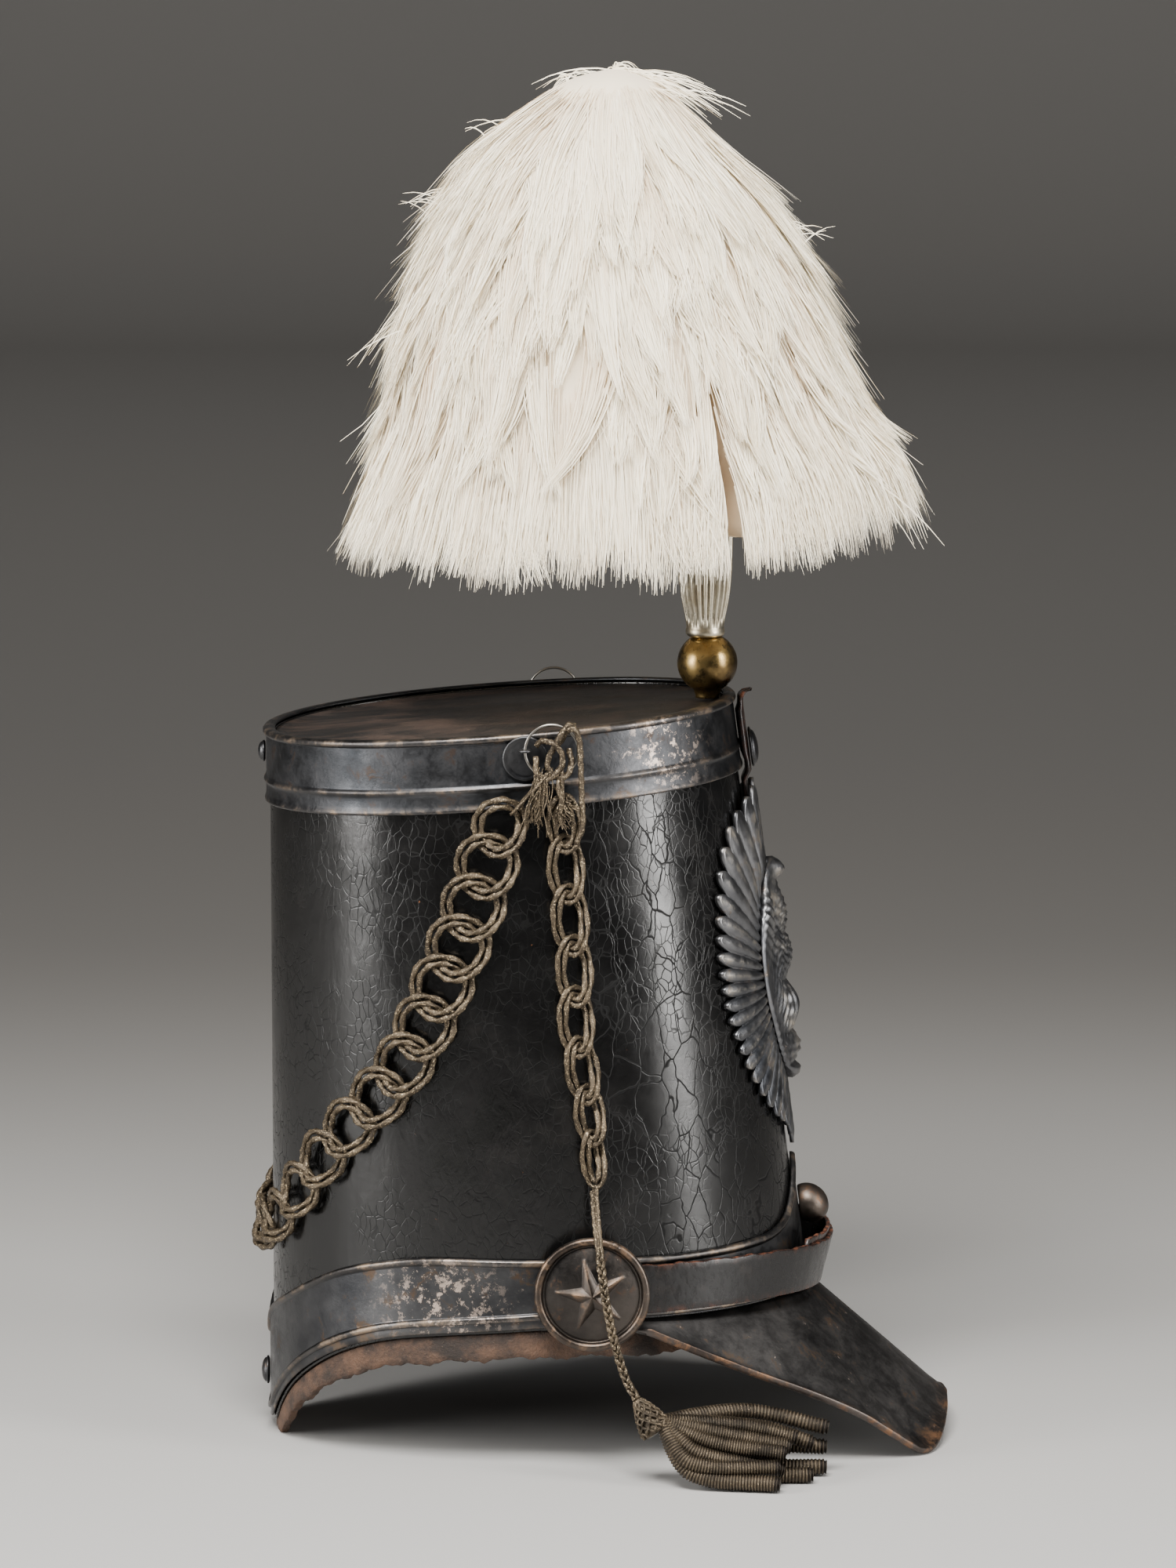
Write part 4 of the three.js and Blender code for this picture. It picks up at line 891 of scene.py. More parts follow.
# Tubes along a line
def tube(line, radius, sides=8, loop=False, lobes=0, turns=0.0, depth=0.25, start=0.0, ridge=None):
    """Points and faces of a tube along points; lobes twist round it like the strands of a rope."""
    line = np.asarray(line, float)
    n = len(line)
    if loop:
        ahead = np.roll(line, -1, 0) - np.roll(line, 1, 0)
    else:
        ahead = np.gradient(line, axis=0)
    ahead /= np.linalg.norm(ahead, axis=1)[:, None]
    normal = np.cross(ahead[0], [0.13, 0.31, 0.94])
    normal /= np.linalg.norm(normal)
    frames = []
    for k in range(n):
        normal = normal - ahead[k] * normal.dot(ahead[k])
        normal /= np.linalg.norm(normal)
        frames.append(normal)
    normals = np.array(frames)
    others = np.cross(ahead, normals)
    if loop:
        last = normals[-1] - ahead[0] * normals[-1].dot(ahead[0])
        miss = math.atan2(last.dot(others[0]), last.dot(normals[0]))
    else:
        miss = 0.0
    a = circle(sides)[None, :]
    pos = (np.arange(n) / (n if loop else n - 1))[:, None]
    turned_by = -miss * pos
    radius = np.broadcast_to(np.asarray(radius, float), n)[:, None]
    r = radius
    if lobes:
        phase = lobes * (a - turned_by) + TAU * turns * pos + start
        r = radius * (1 - depth * (0.5 - 0.5 * np.cos(phase)))
    if ridge is not None:
        r = r * ridge[:, None]
    c, s = np.cos(a + turned_by), np.sin(a + turned_by)
    rings = line[:, None] + (r * c)[..., None] * normals[:, None] + (r * s)[..., None] * others[:, None]
    return closed(rings, loop)


def curve_through(points, count):
    """Evenly spaced points on an eased line through points."""
    gaps = np.concatenate([[0], np.cumsum(np.linalg.norm(np.diff(points, axis=0), axis=1))])
    fine = np.linspace(0, gaps[-1], count * 8)
    line = np.stack([along(np.stack([gaps, points[:, c]], -1), fine) for c in range(3)], -1)
    real = np.concatenate([[0], np.cumsum(np.linalg.norm(np.diff(line, axis=0), axis=1))])
    even = np.linspace(0, real[-1], count)
    return np.stack([np.interp(even, real, line[:, c]) for c in range(3)], -1)


# Wire rings and their disc buttons
RING_FACE = abs(on_head(math.pi / 2, RING_Z, RING_OFF)[1])
DISC_ROWS = [
    # radius, height off the band
    (8.2, 0), (8.6, 0.2), (8.7, 0.55), (8.6, 0.95), (8.2, 1.2), (7.6, 1.25), (7.3, 1.05), (6, 1.2), (3, 1.6),
    (0.2, 1.7)]
EYE_R = 1.9
for side, hand in ((-1, "right"), (1, "left")):
    a = circle(72)
    line = np.stack([RING_X + RING_R * np.cos(a), side * RING_FACE + 0 * a, RING_Z + RING_R * np.sin(a)], -1)
    points, faces = tube(line, 0.55, 10, loop=True)
    build(f"ring_{hand}_look", points, faces, m_steel, node=f"ring_{hand}", slot="ring_steel")
    x, z = RING_X - RING_R, RING_Z - 3.6
    low = abs(on_head(math.radians(96), RING_Z, 2.0)[1]) + 0.5
    disc = closed(turned(DISC_ROWS, 56, lambda u, v, h: (x + u, side * (low + h), z + v)))
    a = circle(28)
    eye_y = side * (RING_FACE + EYE_R * np.sin(a))
    eye = tube(np.stack([x + EYE_R * np.cos(a), eye_y, RING_Z + 0 * a], -1), 0.6, 8, loop=True)
    stem = closed(turned([(1.1, 1), (1.1, RING_FACE - low - 1.7)], 12,
                         lambda u, v, h: (x + u, side * (low + h), RING_Z + v)))
    points, faces = joined([disc, eye, stem])
    build(f"ring_button_{hand}_look", points, faces, m_foot, node=f"ring_button_{hand}",
          slot="tarnished_silver")


# Cap line: every link is a doubled rope bent into a saddle
def link_ropes(centre, tangent, normal, length, width, wire, saddle, steps=84):
    T = tangent / np.linalg.norm(tangent)
    N = normal - T * normal.dot(T)
    N /= np.linalg.norm(N)
    B = np.cross(N, T)
    f = (np.arange(steps) / steps * TAU)[:, None]
    made = []
    for k, shift in enumerate((-1, 1)):
        grow = shift * wire * 0.5
        taper = 1 - 0.1 * np.cos(f)
        line = (centre + T * (length + grow) * np.cos(f) + B * (width + grow) * taper * np.sin(f)
                + N * (saddle * (np.sin(2 * f) + 0.5 * np.cos(f))))
        made.append(tube(line, wire * 0.53, 9, loop=True, lobes=3, turns=round((length + width) * 0.5),
                         depth=0.55, start=k * 1.7))
    return made


def head_normal(t, z):
    a, b = on_head(t, z, 0), on_head(t + 0.01, z, 0)
    return np.array([b[1] - a[1], a[0] - b[0], 0])


def line_off(z):
    return LINE_OFF + 2.2 * smooth(238, 250, z)


def chain(spots, wire, saddle, slim):
    made = []
    for i, (p, t, length, width) in enumerate(spots):
        tangent = spots[min(i + 1, len(spots) - 1)][0] - spots[max(i - 1, 0)][0]
        made += link_ropes(p, tangent, head_normal(t, p[2]), length - slim, width - slim, wire, saddle)
    return made


def standing_loop(top, low, share, normal, width, wire):
    """Loop through a ring, from the ring's foot at top toward the first link at low."""
    way = low - np.array(top)
    full = np.linalg.norm(way)
    half = full * share
    centre = top + way / full * (half - 3.2)
    return link_ropes(centre, way, np.array(normal, float), half, width, wire, 0, steps=60)


DRAPE = [
    # x, z, half length, half width of the links on the right side
    (-39.6, 250, 10.2, 9), (-44.6, 234.8, 11.4, 10.8), (-49.8, 219, 11.6, 11), (-55.6, 203.4, 11.6, 11),
    (-62, 188, 11.6, 10.8), (-68.8, 172.6, 11.6, 10.6), (-76.8, 157.6, 11.6, 10.2), (-87, 144.2, 11.4, 9.8),
    (-98.6, 131.2, 11.2, 9.4), (-109.2, 117.4, 11, 9.2), (-118.6, 103, 11, 9)]
BACK_LINKS = [(-33, 90), (-16.8, 83.4), (0, 81.4), (16.8, 83.4), (33, 90)]


def side_spots(side):
    spots = []
    for x, z, length, width in DRAPE:
        t = side * side_angle(x + SHIFT_X, z, LINE_OFF)
        spots.append((on_head(t, z, line_off(z)), float(t), length, width))
    return spots


back_spots = []
for y, z in BACK_LINKS:
    t = math.pi - front_angle(abs(y), z, LINE_OFF)
    t = t if y > 0 else -t
    back_spots.append((on_head(t, float(z), LINE_OFF), float(t), 10.9, 8.8))
right_spots = side_spots(-1)
left_spots = side_spots(1)[::-1]
parts = chain(right_spots + back_spots + left_spots, 2.7, 1.95, 0.75)
for side, spot in ((-1, right_spots[0]), (1, left_spots[-1])):
    loop_top = (RING_X - 2.4, side * RING_FACE, RING_Z - 9.7)
    parts += standing_loop(loop_top, spot[0], 0.42, (1, 0, 0.4), 3.5, 1.35)
points, faces = joined(parts)
build("drape_look", points, faces, m_bullion, node="cord_drape", slot="bullion_cord",
      mark=np.zeros(len(points)))

DROP = [
    # x, z, half length, half width
    (-15.6, 251, 10, 5.2), (-14.4, 233.4, 12, 5.7), (-12.8, 214, 12.4, 5.7), (-11.2, 194.6, 12.4, 5.6),
    (-10.6, 175.2, 12.4, 5.5), (-8.2, 156.6, 11.8, 5), (-5.4, 139.4, 10.6, 4.4), (-4, 122.6, 10, 3.3)]
spots = []
for x, z, length, width in DROP:
    t = -side_angle(x + SHIFT_X, z, LINE_OFF)
    spots.append((on_head(t, z, line_off(z) - 0.2), float(t), length, width))
parts = chain(spots, 2.4, 1.8, 0.4)
parts += standing_loop((RING_X + 4, -RING_FACE, RING_Z - 9.2), spots[0][0], 0.5, (1, 0, 0), 3.2, 1.4)

# Knot at the ring: loops through it, a long rope down its front side, and a brush of frayed threads
ring_at = np.array([RING_X, -RING_FACE - 0.6, RING_Z])


def rope(spots, radius, count=90):
    line = curve_through(np.array([ring_at + np.array([x, y, z]) for x, y, z in spots]), count)
    long = np.linalg.norm(np.diff(line, axis=0), axis=1).sum()
    return tube(line, radius, 10, lobes=3, turns=long / 5, depth=0.34)


parts += [
    rope([(2, 3.4, 1), (4.6, 1.2, 5.4), (6.8, -1.6, 8.6), (9.2, -1.8, 8), (10.6, -1.2, 3), (11, -0.8, -6),
          (11.4, -0.4, -18), (11.6, -0.2, -29), (9.4, 0.4, -35)], 1.25),
    rope([(8.6, 2.4, 9.4), (6.2, -0.4, 10), (3, -1.8, 5.6), (0, -1.6, 0), (-1.6, -1.2, -5), (1.2, -1.6, -9),
          (5, -1.8, -9.6), (7.4, -1, -5), (6.6, 0.8, 1)], 1.3),
    rope([(-5.6, 1.4, 2), (-3.2, -1.4, 4.2), (1.6, -2.6, 2.6), (4.2, -2.4, -2.6), (2, -2.4, -8),
          (-2.4, -2, -10.6), (-5.6, -1.2, -8), (-5.8, 0.4, -2)], 1.3),
    rope([(4, 0, -8), (2.6, -2.2, -12.6), (3.8, -2, -18), (3.4, -1.4, -23.4)], 1.3, 50)]


def threads(count, at, spread, fall, spray, r=0.22):
    for k in range(count):
        start = ring_at + np.array(at) + rng.normal(0, 1, 3) * spread
        s = np.linspace(0, 1, 9)[:, None]
        way = np.array(fall) * rng.uniform(0.55, 1.1) + rng.normal(0, 1, 3) * spray
        q = s[:, 0]
        curl = np.stack([np.sin(q * rng.uniform(2, 7) + k), np.cos(q * 5 + k) * 0.5, 0 * q], -1)
        parts.append(tube(start + way * s + curl * 1.1 * s, r, 4))


threads(70, (-3.4, -2.2, -8.6), (1.6, .6, 1.2), (-1.6, -0.6, -17), (2.6, .8, 2))
threads(26, (3.4, -1.4, -23), (.7, .5, .6), (0.4, -0.6, -6), (1.8, .6, 1.2))
threads(16, (5.6, -1.6, -20), (.8, .4, 1), (2, -0.8, -3), (1.6, .6, 1.6), 0.3)
points, faces = joined(parts)
build("drop_look", points, faces, m_bullion, node="cord_drop", slot="bullion_cord",
      mark=np.zeros(len(points)))

# Cord below the drop: three strands side by side, plaited below, that cross over the rosette
CORD = np.array([
    (-3.8, -86.7, 111.4), (-3, -90, 101), (-1.8, -97, 90), (-0.6, -99.2, 80), (1.2, -99.4, 68),
    (3.6, -98.6, 56), (6.4, -97, 46), (9, -96.2, 38.4), (12.44, -97.92, 32.84)]) + [SHIFT_X, 0, 0]
line = curve_through(CORD, 260)
parts = []
s = np.linspace(0, 1, len(line))
plait = smooth(0.26, 0.34, s)
for k in range(3):
    turn = TAU * (8.5 * s + k / 3)
    apart = (1 - plait) * (k - 1) * 0.95 + plait * 1.05 * np.sin(turn)
    ahead = (1 - plait) * (0.5 if k == 1 else 0) + plait * 0.75 * np.sin(2 * turn)
    line_k = line + np.stack([apart * 0.94, ahead, apart * 0.34], -1)
    parts.append(tube(line_k, 0.86, 9, lobes=3, turns=22, depth=0.34, start=k))
points, faces = joined(parts)
cord_obj = build("tassel_cord_look", points, faces, m_bullion, node="tassel_cord", slot="bullion_cord",
                 mark=np.zeros(len(points)))

# Tassel: netted head and coiled bullion strands
tip = np.array([12.6 + SHIFT_X, -98, 32.6])
foot = np.array([19.6 + SHIFT_X, -101.6, 22])
T = (foot - tip) / np.linalg.norm(foot - tip)
long = np.linalg.norm(foot - tip)
U = np.array([0, 1.0, 0]) - T * T[1]
U /= np.linalg.norm(U)
V = np.cross(T, U)
parts = []
head_rows = [(0, 1.5), (0.16, 2.6), (0.5, 4.6), (0.8, 5.7), (1, 6.2), (1.1, 5.6)]
core = turned([(along(head_rows, q) * 0.84, q * long) for q in np.linspace(0, 1.12, 12)], 24,
              lambda u, v, h: (u, v, h + 0 * u))
core = tip + core[..., 2:3] * T + core[..., 0:1] * U + core[..., 1:2] * V
parts.append(closed(core))
for k in range(9):
    for hand in (-1, 1):
        q = np.linspace(0.02, 1.08, 60)
        turn = k / 9 * TAU + hand * 2.3 * q
        r = along(head_rows, q) * (0.95 + 0.07 * np.sin(q * 30 + k * 2.1 * hand))
        line = (tip + (q * long)[:, None] * T + (r * np.cos(turn))[:, None] * U
                + (r * np.sin(turn))[:, None] * V)
        parts.append(tube(line, 0.62, 7, lobes=2, turns=22, depth=0.3))
points, faces = joined(parts)
STRANDS = [
    # middle x, y, z, end x, y, z
    (32.8, -108, 6.6, 66.6, -113, 3.3), (32.7, -109, 10.9, 66.5, -107, 8.2), (35, -106, 14.1, 68, -101.5, 6),
    (40.7, -102, 17, 69.1, -103.5, 13), (45.3, -99, 19.6, 70.9, -98, 14), (54, -94, 21.2, 73.3, -93.5, 16.6),
    (54.3, -83, 24.5, 85.6, -83, 18.1), (59.9, -87, 19, 79.9, -88, 13), (60, -82, 12, 85.1, -81, 10),
    (60, -87, 5, 85, -87, 3.6), (55, -98, 3.5, 79.6, -98, 3.4)]
strand_parts, strand_shade_marks = [], []
for mx, my, mz, ex, ey, ez in STRANDS:
    middle, end = np.array([mx + SHIFT_X, my, mz]), np.array([ex + SHIFT_X, ey, ez])
    begin = foot - T * 2
    aside = (middle - begin) - T * (middle - begin).dot(T)
    begin = begin + aside / np.linalg.norm(aside) * 3.2
    line = curve_through(np.array([begin, middle, end]), 250)
    s = np.linspace(0, 1, 250)
    coil = 1 - 0.17 * (0.5 - 0.5 * np.cos(TAU * 50 * s))
    swell = np.where(s > 0.985, 0.86, 1.0) * (0.82 + 0.18 * smooth(0, 0.2, s))
    radius = 3.25 * swell
    line[:, 2] = np.maximum(line[:, 2], radius + 0.05)
    p, f = tube(line, radius, 10, ridge=coil)
    strand_parts.append((p, f))
    # Painted shade in the grooves between the coils, and darker towards each strand's end
    inner = np.concatenate([np.repeat(0.85 * (1 - coil) / 0.17 + 0.65 * smooth(0.95, 0.985, s), 10), [0, 1]])
    strand_shade_marks.append(inner)
strand_points, strand_faces = joined(strand_parts)
head_marks = np.zeros(len(points))
points, faces = joined([(points, faces), (strand_points, strand_faces)])
points[:, 2] = np.maximum(points[:, 2], 0.02)
build("tassel_look", points, faces, m_tassel, node="tassel", slot="bullion_cord",
      mark=np.concatenate([head_marks, np.concatenate(strand_shade_marks)]))

# Ball and socket of the plume
foot_z = rim_z(39.7 + SHIFT_X) - 3 + 1 + GAP
BALL_R, BALL_Z = 11.7, 301.9
rows = [(4.6, foot_z), (4.6, foot_z + 0.8), *ball_rows(BALL_R, BALL_Z, -62, 60, 30), (5.2, 312.1)]
body("ball_look", turned(rows, 64, lambda u, v, h: (40.2 + SHIFT_X + u, v, h)), m_brass, node="plume_ball",
     slot="ball_brass")
steps = 216
a = circle(steps)
SOCKET = [
    # height, radius
    (312.4, 6.8), (313.2, 7.5), (315.2, 7.5), (315.8, 7.2), (330, 9.8), (344, 10.7), (367, 10.9), (370, 10.4)]
rings, mark = [], []
foot_heights, top_heights = [312.4, 312.7, 313.3, 314.2, 315.1, 315.5], [368, 369.6, 370.4, 371]
for z in np.concatenate([foot_heights, np.linspace(316.2, 366, 40), top_heights]):
    r = along(SOCKET, z)
    flute = np.abs(np.sin(a * 11)) ** 0.7
    depth = 0.15 * smooth(316, 321, z)
    r = r * (1 - depth * (1 - flute))
    leaf_z = (z - 342) / 13
    leaf = np.exp(-(((a - math.radians(200) + math.pi) % TAU - math.pi) / 0.75) ** 2) * np.exp(-leaf_z ** 4)
    veins = 0.6 + 0.4 * np.sin(z * 1.3 + np.cos(a * 9) * 2) * np.cos(a * 7 + z * 0.4)
    r = r * (1 - 0.5 * depth * leaf) + 1.2 * leaf * veins
    top = 1.6 * np.abs(np.sin(a * 4.5)) * smooth(366, 369, z)
    rings.append(np.stack([39.3 + SHIFT_X + r * np.cos(a), r * np.sin(a), z - (1.5 - top) * (z > 367)], -1))
    # Darker in the flutes; painted shade over the top and the inner cap, which stand inside the plume
    mark.append(np.clip((1 - flute) * 0.55 * smooth(316, 321, z) + smooth(352, 368, z) * 0.9, 0, 1))
rings.append(rings[-1] * [1, 0, 1] + [0, 0, -3] + (rings[-1] * [0, 1, 0]) * 0.2)
mark.append(np.ones(steps))
body("socket_look", rings, m_pale, mark=np.array(mark), node="plume_socket", slot="socket_silver")

# Plume: an under-form, and over it locks of fine barbs
PLUME = np.array([
    # z, reach back, front and sideways, middle x
    [531, 3, 4, 3, 4], [526, 20, 18, 17, 3], [514, 37, 33, 32, 2], [500, 53, 45, 48, 2],
    [482, 64, 60, 62, 3], [456, 76, 75, 75, 4], [428, 85, 87, 84, 5], [400, 90, 97, 90, 6],
    [374, 98, 108, 94, 7], [346, 105, 111, 95, 8]], float)
PLUME[:, 4] += SHIFT_X
mid_reach = (PLUME[:, 1] + PLUME[:, 2]) / 2
length_so_far = np.concatenate([[0], np.cumsum(np.hypot(np.diff(PLUME[:, 0]), np.diff(mid_reach)))])
PLUME_LONG = length_so_far[-1]
PART = math.radians(-68)
PLUME_MIDDLE = np.array([9.0, 0, 430.0])


def hem_lift(a):
    """How much higher the hem hangs at the front."""
    return 14 * np.maximum(0, np.cos(a)) ** 1.5


def plume_at(a, s, inward=0.0):
    """Point of the plume at an angle from the front and a share of the way from tip to hem."""
    a, s, inward = np.broadcast_arrays(np.asarray(a, float), s, inward)
    far = s * PLUME_LONG
    value = [along(np.stack([length_so_far, PLUME[:, c]], -1), far) for c in range(5)]
    z, back, front, side, middle = value
    over = np.maximum(0, far - PLUME_LONG)
    c, q = np.cos(a), np.sin(a)
    reach = np.where(c > 0, front, back)
    x = middle + (reach - inward) * c
    y = (side - inward) * q
    z = z - over + hem_lift(a) * smooth(0.7, 1.0, s)
    return np.stack([x, y, z], -1)


def parted(a, s):
    """The angle pushed away from the parting, more towards the hem; no barb crosses it low down."""
    away = (a - PART + math.pi) % TAU - math.pi
    hand = np.where(away[..., -1:] >= 0, 1.0, -1.0)
    clear = away * hand
    clear = np.where((s > 0.55) & (clear < 0) & (clear > -1), 0.0, clear)
    push = np.radians(1.7) * smooth(0.55, 0.95, s) * np.exp(-np.abs(clear) / 0.28)
    return PART + hand * (clear + push)


steps = 300
a = circle(steps)
away = (a - PART + math.pi) % TAU - math.pi
rings = []
for s in np.linspace(0.0, 0.955, 40):
    wave = 1.2 * np.sin(9 * a + s * 3) + 0.8 * np.sin(23 * a + 2)
    groove = 66 * smooth(0.6, 0.88, s) * np.exp(-(away / 0.034) ** 2)
    rings.append(plume_at(a, s, 4.5 * smooth(0, 0.2, s) + wave * smooth(0.1, 0.3, s) + groove))
for share, lift in [(0.9, -1), (0.7, 4), (0.5, 12), (0.32, 20)]:
    ring = plume_at(a, 0.955, 6 + 66 * np.exp(-(away / 0.034) ** 2))
    ring[:, 0] = 9 + (ring[:, 0] - 9) * share + (1 - share) * 20
    ring[:, 1] *= share
    ring[:, 2] += lift
    rings.append(ring)
rings.append(np.stack([39.3 + SHIFT_X + 13.5 * np.cos(a), 13.5 * np.sin(a), 372 + 0 * a], -1))
rings = np.array(rings)
# Painted shade: the under-form a darker beige all over, and darker still down the parting
parting_shade = np.exp(-(away / 0.075) ** 2)[None, :] * smooth(0.6, 0.85, np.linspace(0, 1.15, len(rings)))[:, None]
body("plume_form", rings, m_feather, node="plume", slot="white_feather", mark=0.35 + 0.6 * parting_shade)


def ribbons(lines, widths, facing):
    """Points and quads of flat strips; lines (count, steps, 3), widths (count, steps)."""
    ahead = np.gradient(lines, axis=1)
    side = np.cross(ahead, facing)
    side /= np.maximum(np.linalg.norm(side, axis=2, keepdims=True), 1e-9)
    left, right = lines - side * widths[..., None] / 2, lines + side * widths[..., None] / 2
    count, steps = lines.shape[:2]
    points = np.stack([left, right], 2).reshape(-1, 3)
    base = (np.arange(count) * steps * 2)[:, None, None]
    k = np.arange(steps - 1)[None, :, None] * 2
    quads = base + k + np.array([0, 1, 3, 2])[None, None, :]
    return points, quads.reshape(-1, 4)


STEPS = 6
LOCKS, BARBS = ((800, 64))
quarter_points = [[] for _ in range(4)]
for lock in range(LOCKS):
    hem = lock % 4 == 1
    s0 = rng.uniform(0.0, 0.12) if lock % 9 == 0 else rng.uniform(0.0, 0.72)
    a0 = rng.uniform(0, TAU)
    s1 = s0 + rng.uniform(0.16, 0.34) + 0.1 * (s0 < 0.15)
    if hem:
        s0, a0 = rng.uniform(0.6, 0.8), lock / LOCKS * TAU
    hem = hem or s1 > 0.93
    if hem:
        s1 = 1.0 + rng.uniform(-0.03, 0.035)
    drift = rng.normal(0, 0.1) * (0.45 if hem else 1)
    curl = rng.normal(0, 0.05) * (0.3 if hem else 1)
    wide = rng.uniform(8, 12) if hem else rng.uniform(4, 10)
    lift = rng.uniform(0, 3.5) if hem else rng.uniform(1, 8.5) * rng.random() ** 0.7
    sunk = rng.uniform(0.5, 4.5)
    n = BARBS
    u = np.linspace(0, 1, STEPS)[None, :]
    begin = rng.uniform(0, 0.45, n)[:, None]
    stop = 1 - np.abs(rng.normal(0, 0.11, n))[:, None]
    pos = begin + (stop - begin) * u
    s = s0 + (s1 - s0) * pos
    spread = rng.normal(0, 0.45, n)[:, None]
    clump = 1 - (0.12 if hem else 0.84) * pos ** 1.7
    reach = 20 + 85 * np.clip(s, 0, 1)
    wave = 0.5 * np.sin(pos * rng.uniform(3, 8, n)[:, None] + rng.uniform(0, TAU, n)[:, None])
    lateral = (spread * wide * clump + wave * (0.5 + pos)) / reach
    a = parted(a0 + drift * pos + curl * pos ** 3 + lateral, s)
    out = (lift * pos ** 1.6 - sunk * (1 - pos) + rng.normal(0, 0.7, n)[:, None] * (0.4 + pos)
           + rng.exponential(0.8, n)[:, None] * pos ** 4 - 1.2
           + (rng.random(n) < 0.07)[:, None] * rng.uniform(2, 8, n)[:, None] * pos ** 2)
    lines = plume_at(a, s, -out)
    facing = lines - PLUME_MIDDLE + rng.normal(0, 28, (n, 1, 3))
    width = rng.uniform(0.28, 0.56, n)[:, None] * (1 - 0.8 * u ** 3) * np.ones((n, 1))
    # Painted shade darkens each barb towards its root, under the locks that lie over it; the rest of the tone
    # differs at random
    tone_and_shade = np.clip(rng.normal(0.04, 0.06, n)[:, None] + 0.45 * (1 - pos) ** 1.8 + rng.normal(0, 0.07), 0, 0.8)
    quarter_points[(lock // 4) % 4].append((lines, width, facing, np.broadcast_to(tone_and_shade, width.shape)))

# Wisps that stand off, and the tuft at the top
WISPS = [
    # angle from the front, share of the way down, x and height of the tips, barbs, how wide they spread
    (0.1, 0.13, 40, 518, 26, 8), (0.5, 0.1, 30, 522, 22, 8), (-0.6, 0.12, 34, 513, 20, 7),
    (2.6, 0.13, -20, 524, 14, 6), (math.pi - 0.25, 0.44, -75, 480, 9, 5),
    (math.pi + 0.2, 0.62, -93, 419, 8, 5), (math.pi + 0.3, 0.9, -99, 346, 8, 5),
    (math.pi - 0.5, 0.25, -48, 505, 9, 6), (0.2, 0.5, 82, 467, 8, 6), (-0.3, 0.95, 121, 352, 12, 5),
    (-1.2, 0.05, 10, 527, 14, 7)]
for k, (a0, s0, x, z, n, wide) in enumerate(WISPS):
    u = np.linspace(0, 1, STEPS)[None, :, None]
    root_a = a0 + rng.normal(0, 0.35, n) * 0.4
    root_s = np.clip(s0 - 0.07 + rng.normal(0, 0.03, n), 0, 1)
    root_at = plume_at(root_a, root_s, 5.0)[:, None]
    tip_x = x + SHIFT_X + rng.normal(0, wide * 0.8, n)
    tip_y = root_at[:, 0, 1] * 0.9 + rng.normal(0, wide * 0.5, n)
    tips = np.stack([tip_x, tip_y, z + rng.normal(0, wide * 0.4, n)], -1)[:, None]
    knees = (root_at + tips) / 2 + np.array([0, 0, 6.0])
    lines = root_at * (1 - u) ** 2 + knees * 2 * u * (1 - u) + tips * u ** 2
    width = rng.uniform(0.34, 0.6, n)[:, None] * (1 - 0.8 * u[..., 0] ** 3)
    facing = np.broadcast_to(np.array([0.2, -1.0, 0.3]), lines.shape) + rng.normal(0, 0.4, (n, 1, 3))
    tone_and_shade = np.broadcast_to(rng.uniform(0, 0.25, n)[:, None], width.shape)
    quarter_points[k % 4].append((lines, width, facing, tone_and_shade))

for q, made in enumerate(quarter_points):
    lines, width, facing, tone_and_shade = (np.concatenate([m[c] for m in made]) for c in range(4))
    points, quads = ribbons(lines, width, facing)
    mark = np.repeat(tone_and_shade.reshape(-1), 2)
    build(f"plume_barbs_{q + 1}", points, quads, m_feather, slot="white_feather", mark=mark)

# Room

def stage_mesh(name, points, faces, material):
    me = bpy.data.meshes.new(name)
    me.from_pydata(points, [], faces)
    for polygon in me.polygons:
        polygon.use_smooth = True
    me.materials.append(material)
    obj = bpy.data.objects.new(name, me)
    bpy.context.scene.collection.objects.link(obj)


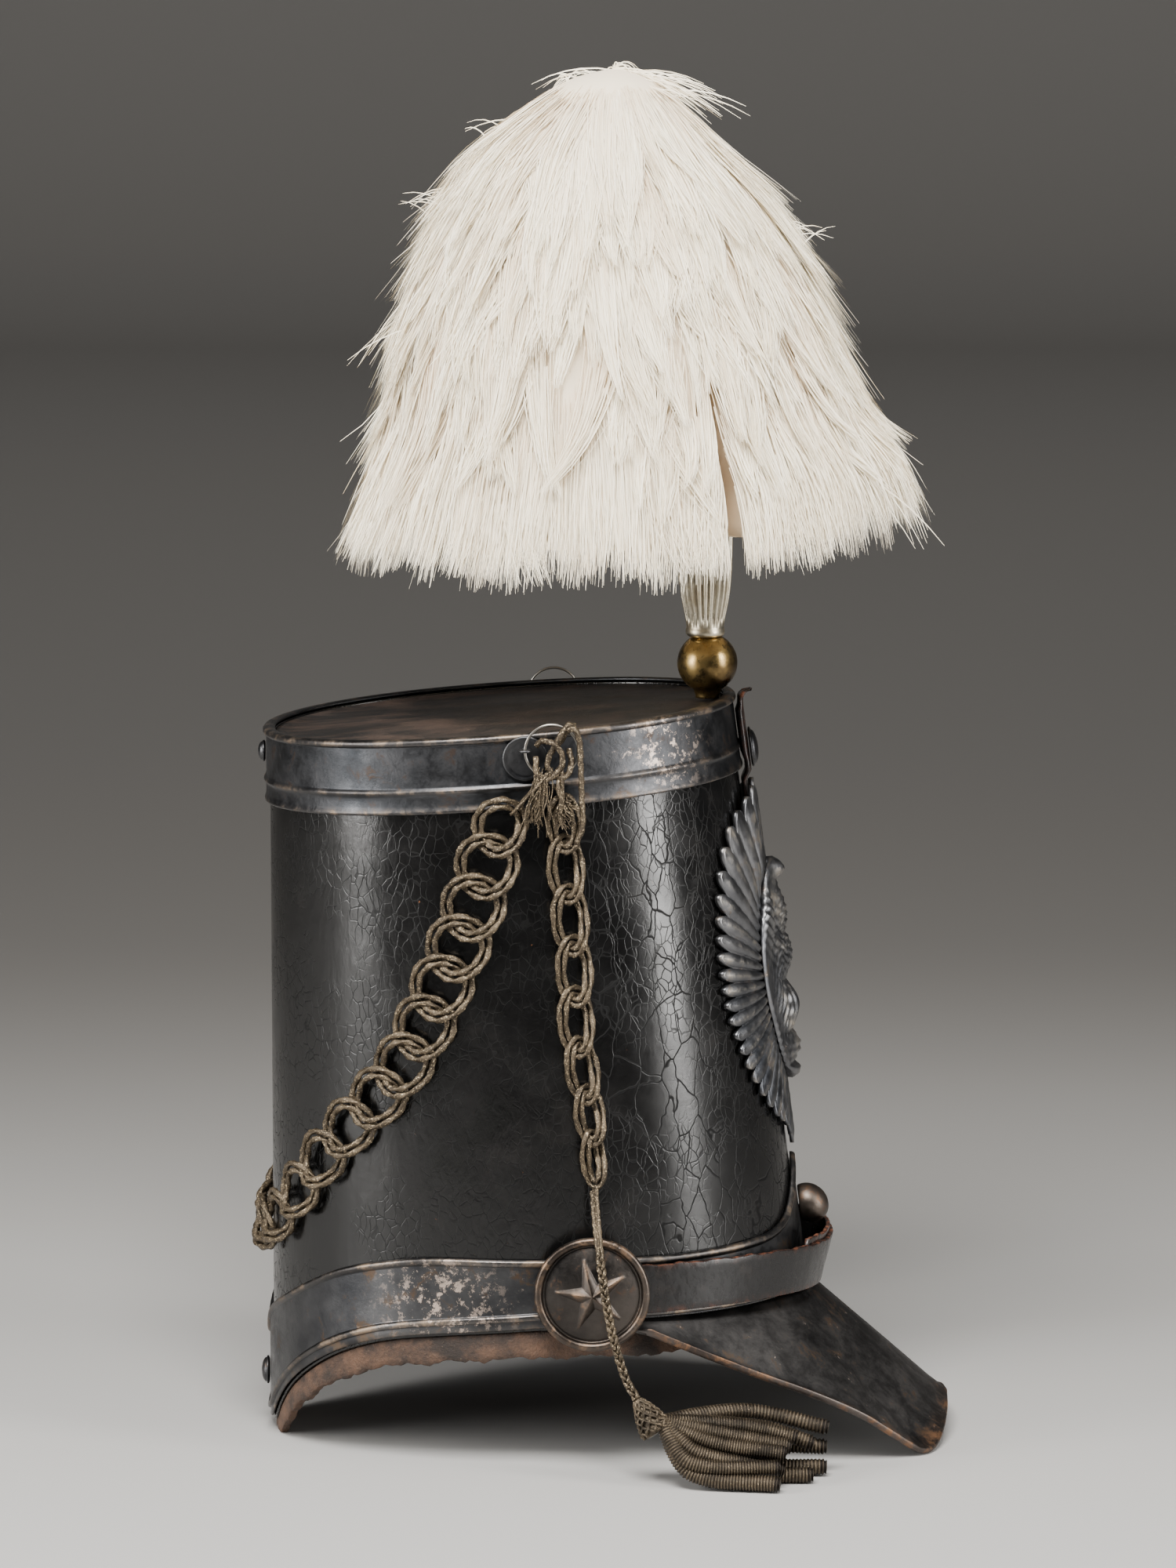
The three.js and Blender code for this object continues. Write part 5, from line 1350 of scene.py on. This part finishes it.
def floor_paper(g):
    """Grey paper, dark in front of the view; painted shade darkens it behind the hat, and painted light
    brightens it again far back.
    """
    coords = g.add("SeparateXYZ")
    g.link(g.place(), coords.inputs[0])
    y = coords.outputs["Y"]
    # Painted shade: light near the hat, darker behind it as if the light fell off
    colour = g.blend(g.step(y, -0.4, 1.15), (0.42, 0.413, 0.402), (0.125, 0.119, 0.111))
    # Painted light: lighter again far back, against the grazing light there
    colour = g.blend(g.step(y, 1.0, 4.5), colour, (0.36, 0.345, 0.325))
    g.out("Base Color", g.blend(g.step(y, -1.3, -0.4), (0.06, 0.058, 0.055), colour))


m_floor = surface("floor", floor_paper, Roughness=0.7)
FLOOR_END, CURVE_R = 5, 1.4
profile = [(-8, 0), (FLOOR_END, 0)]
for v in np.radians(range(10, 91, 10)):
    profile.append((FLOOR_END + CURVE_R * math.sin(v), CURVE_R - CURVE_R * math.cos(v)))
profile.append((FLOOR_END + CURVE_R, 6))
points = [(x, y, z) for x in (-8, 8) for y, z in profile]
n = len(profile)
stage_mesh("backdrop", points, [(i, n + i, n + i + 1, i + 1) for i in range(n - 1)], m_floor)


def soft_light(name, place_at, aim, width, height, power, colour=(1, 1, 1)):
    data = bpy.data.lights.new(name, "AREA")
    data.shape = "RECTANGLE"
    data.size, data.size_y, data.energy, data.color = width, height, power, colour
    obj = bpy.data.objects.new(name, data)
    bpy.context.scene.collection.objects.link(obj)
    obj.location = place_at
    obj.rotation_euler = (Vector(aim) - Vector(place_at)).to_track_quat("-Z", "Y").to_euler()


soft_light("left", (-1.7, -0.85, 0.7), (0, 0, 0.25), 0.5, 1.3, 50, (1, 0.985, 0.96))
soft_light("right", (1.65, -0.9, 0.7), (0, 0, 0.25), 0.45, 1.3, 44, (1, 0.985, 0.96))
soft_light("over", (-0.15, -1.15, 1.85), (0, 0.1, 0.35), 1.1, 0.7, 104, (1, 0.98, 0.95))
world = bpy.data.worlds.new("world")
bpy.context.scene.world = world
world.use_nodes = True
world.node_tree.nodes["Background"].inputs[0].default_value = (0.55, 0.56, 0.58, 1)
world.node_tree.nodes["Background"].inputs[1].default_value = 0.16

# Points along the cord on the tassel side, in metres
cord_line = curve_through(CORD, 60) * MM
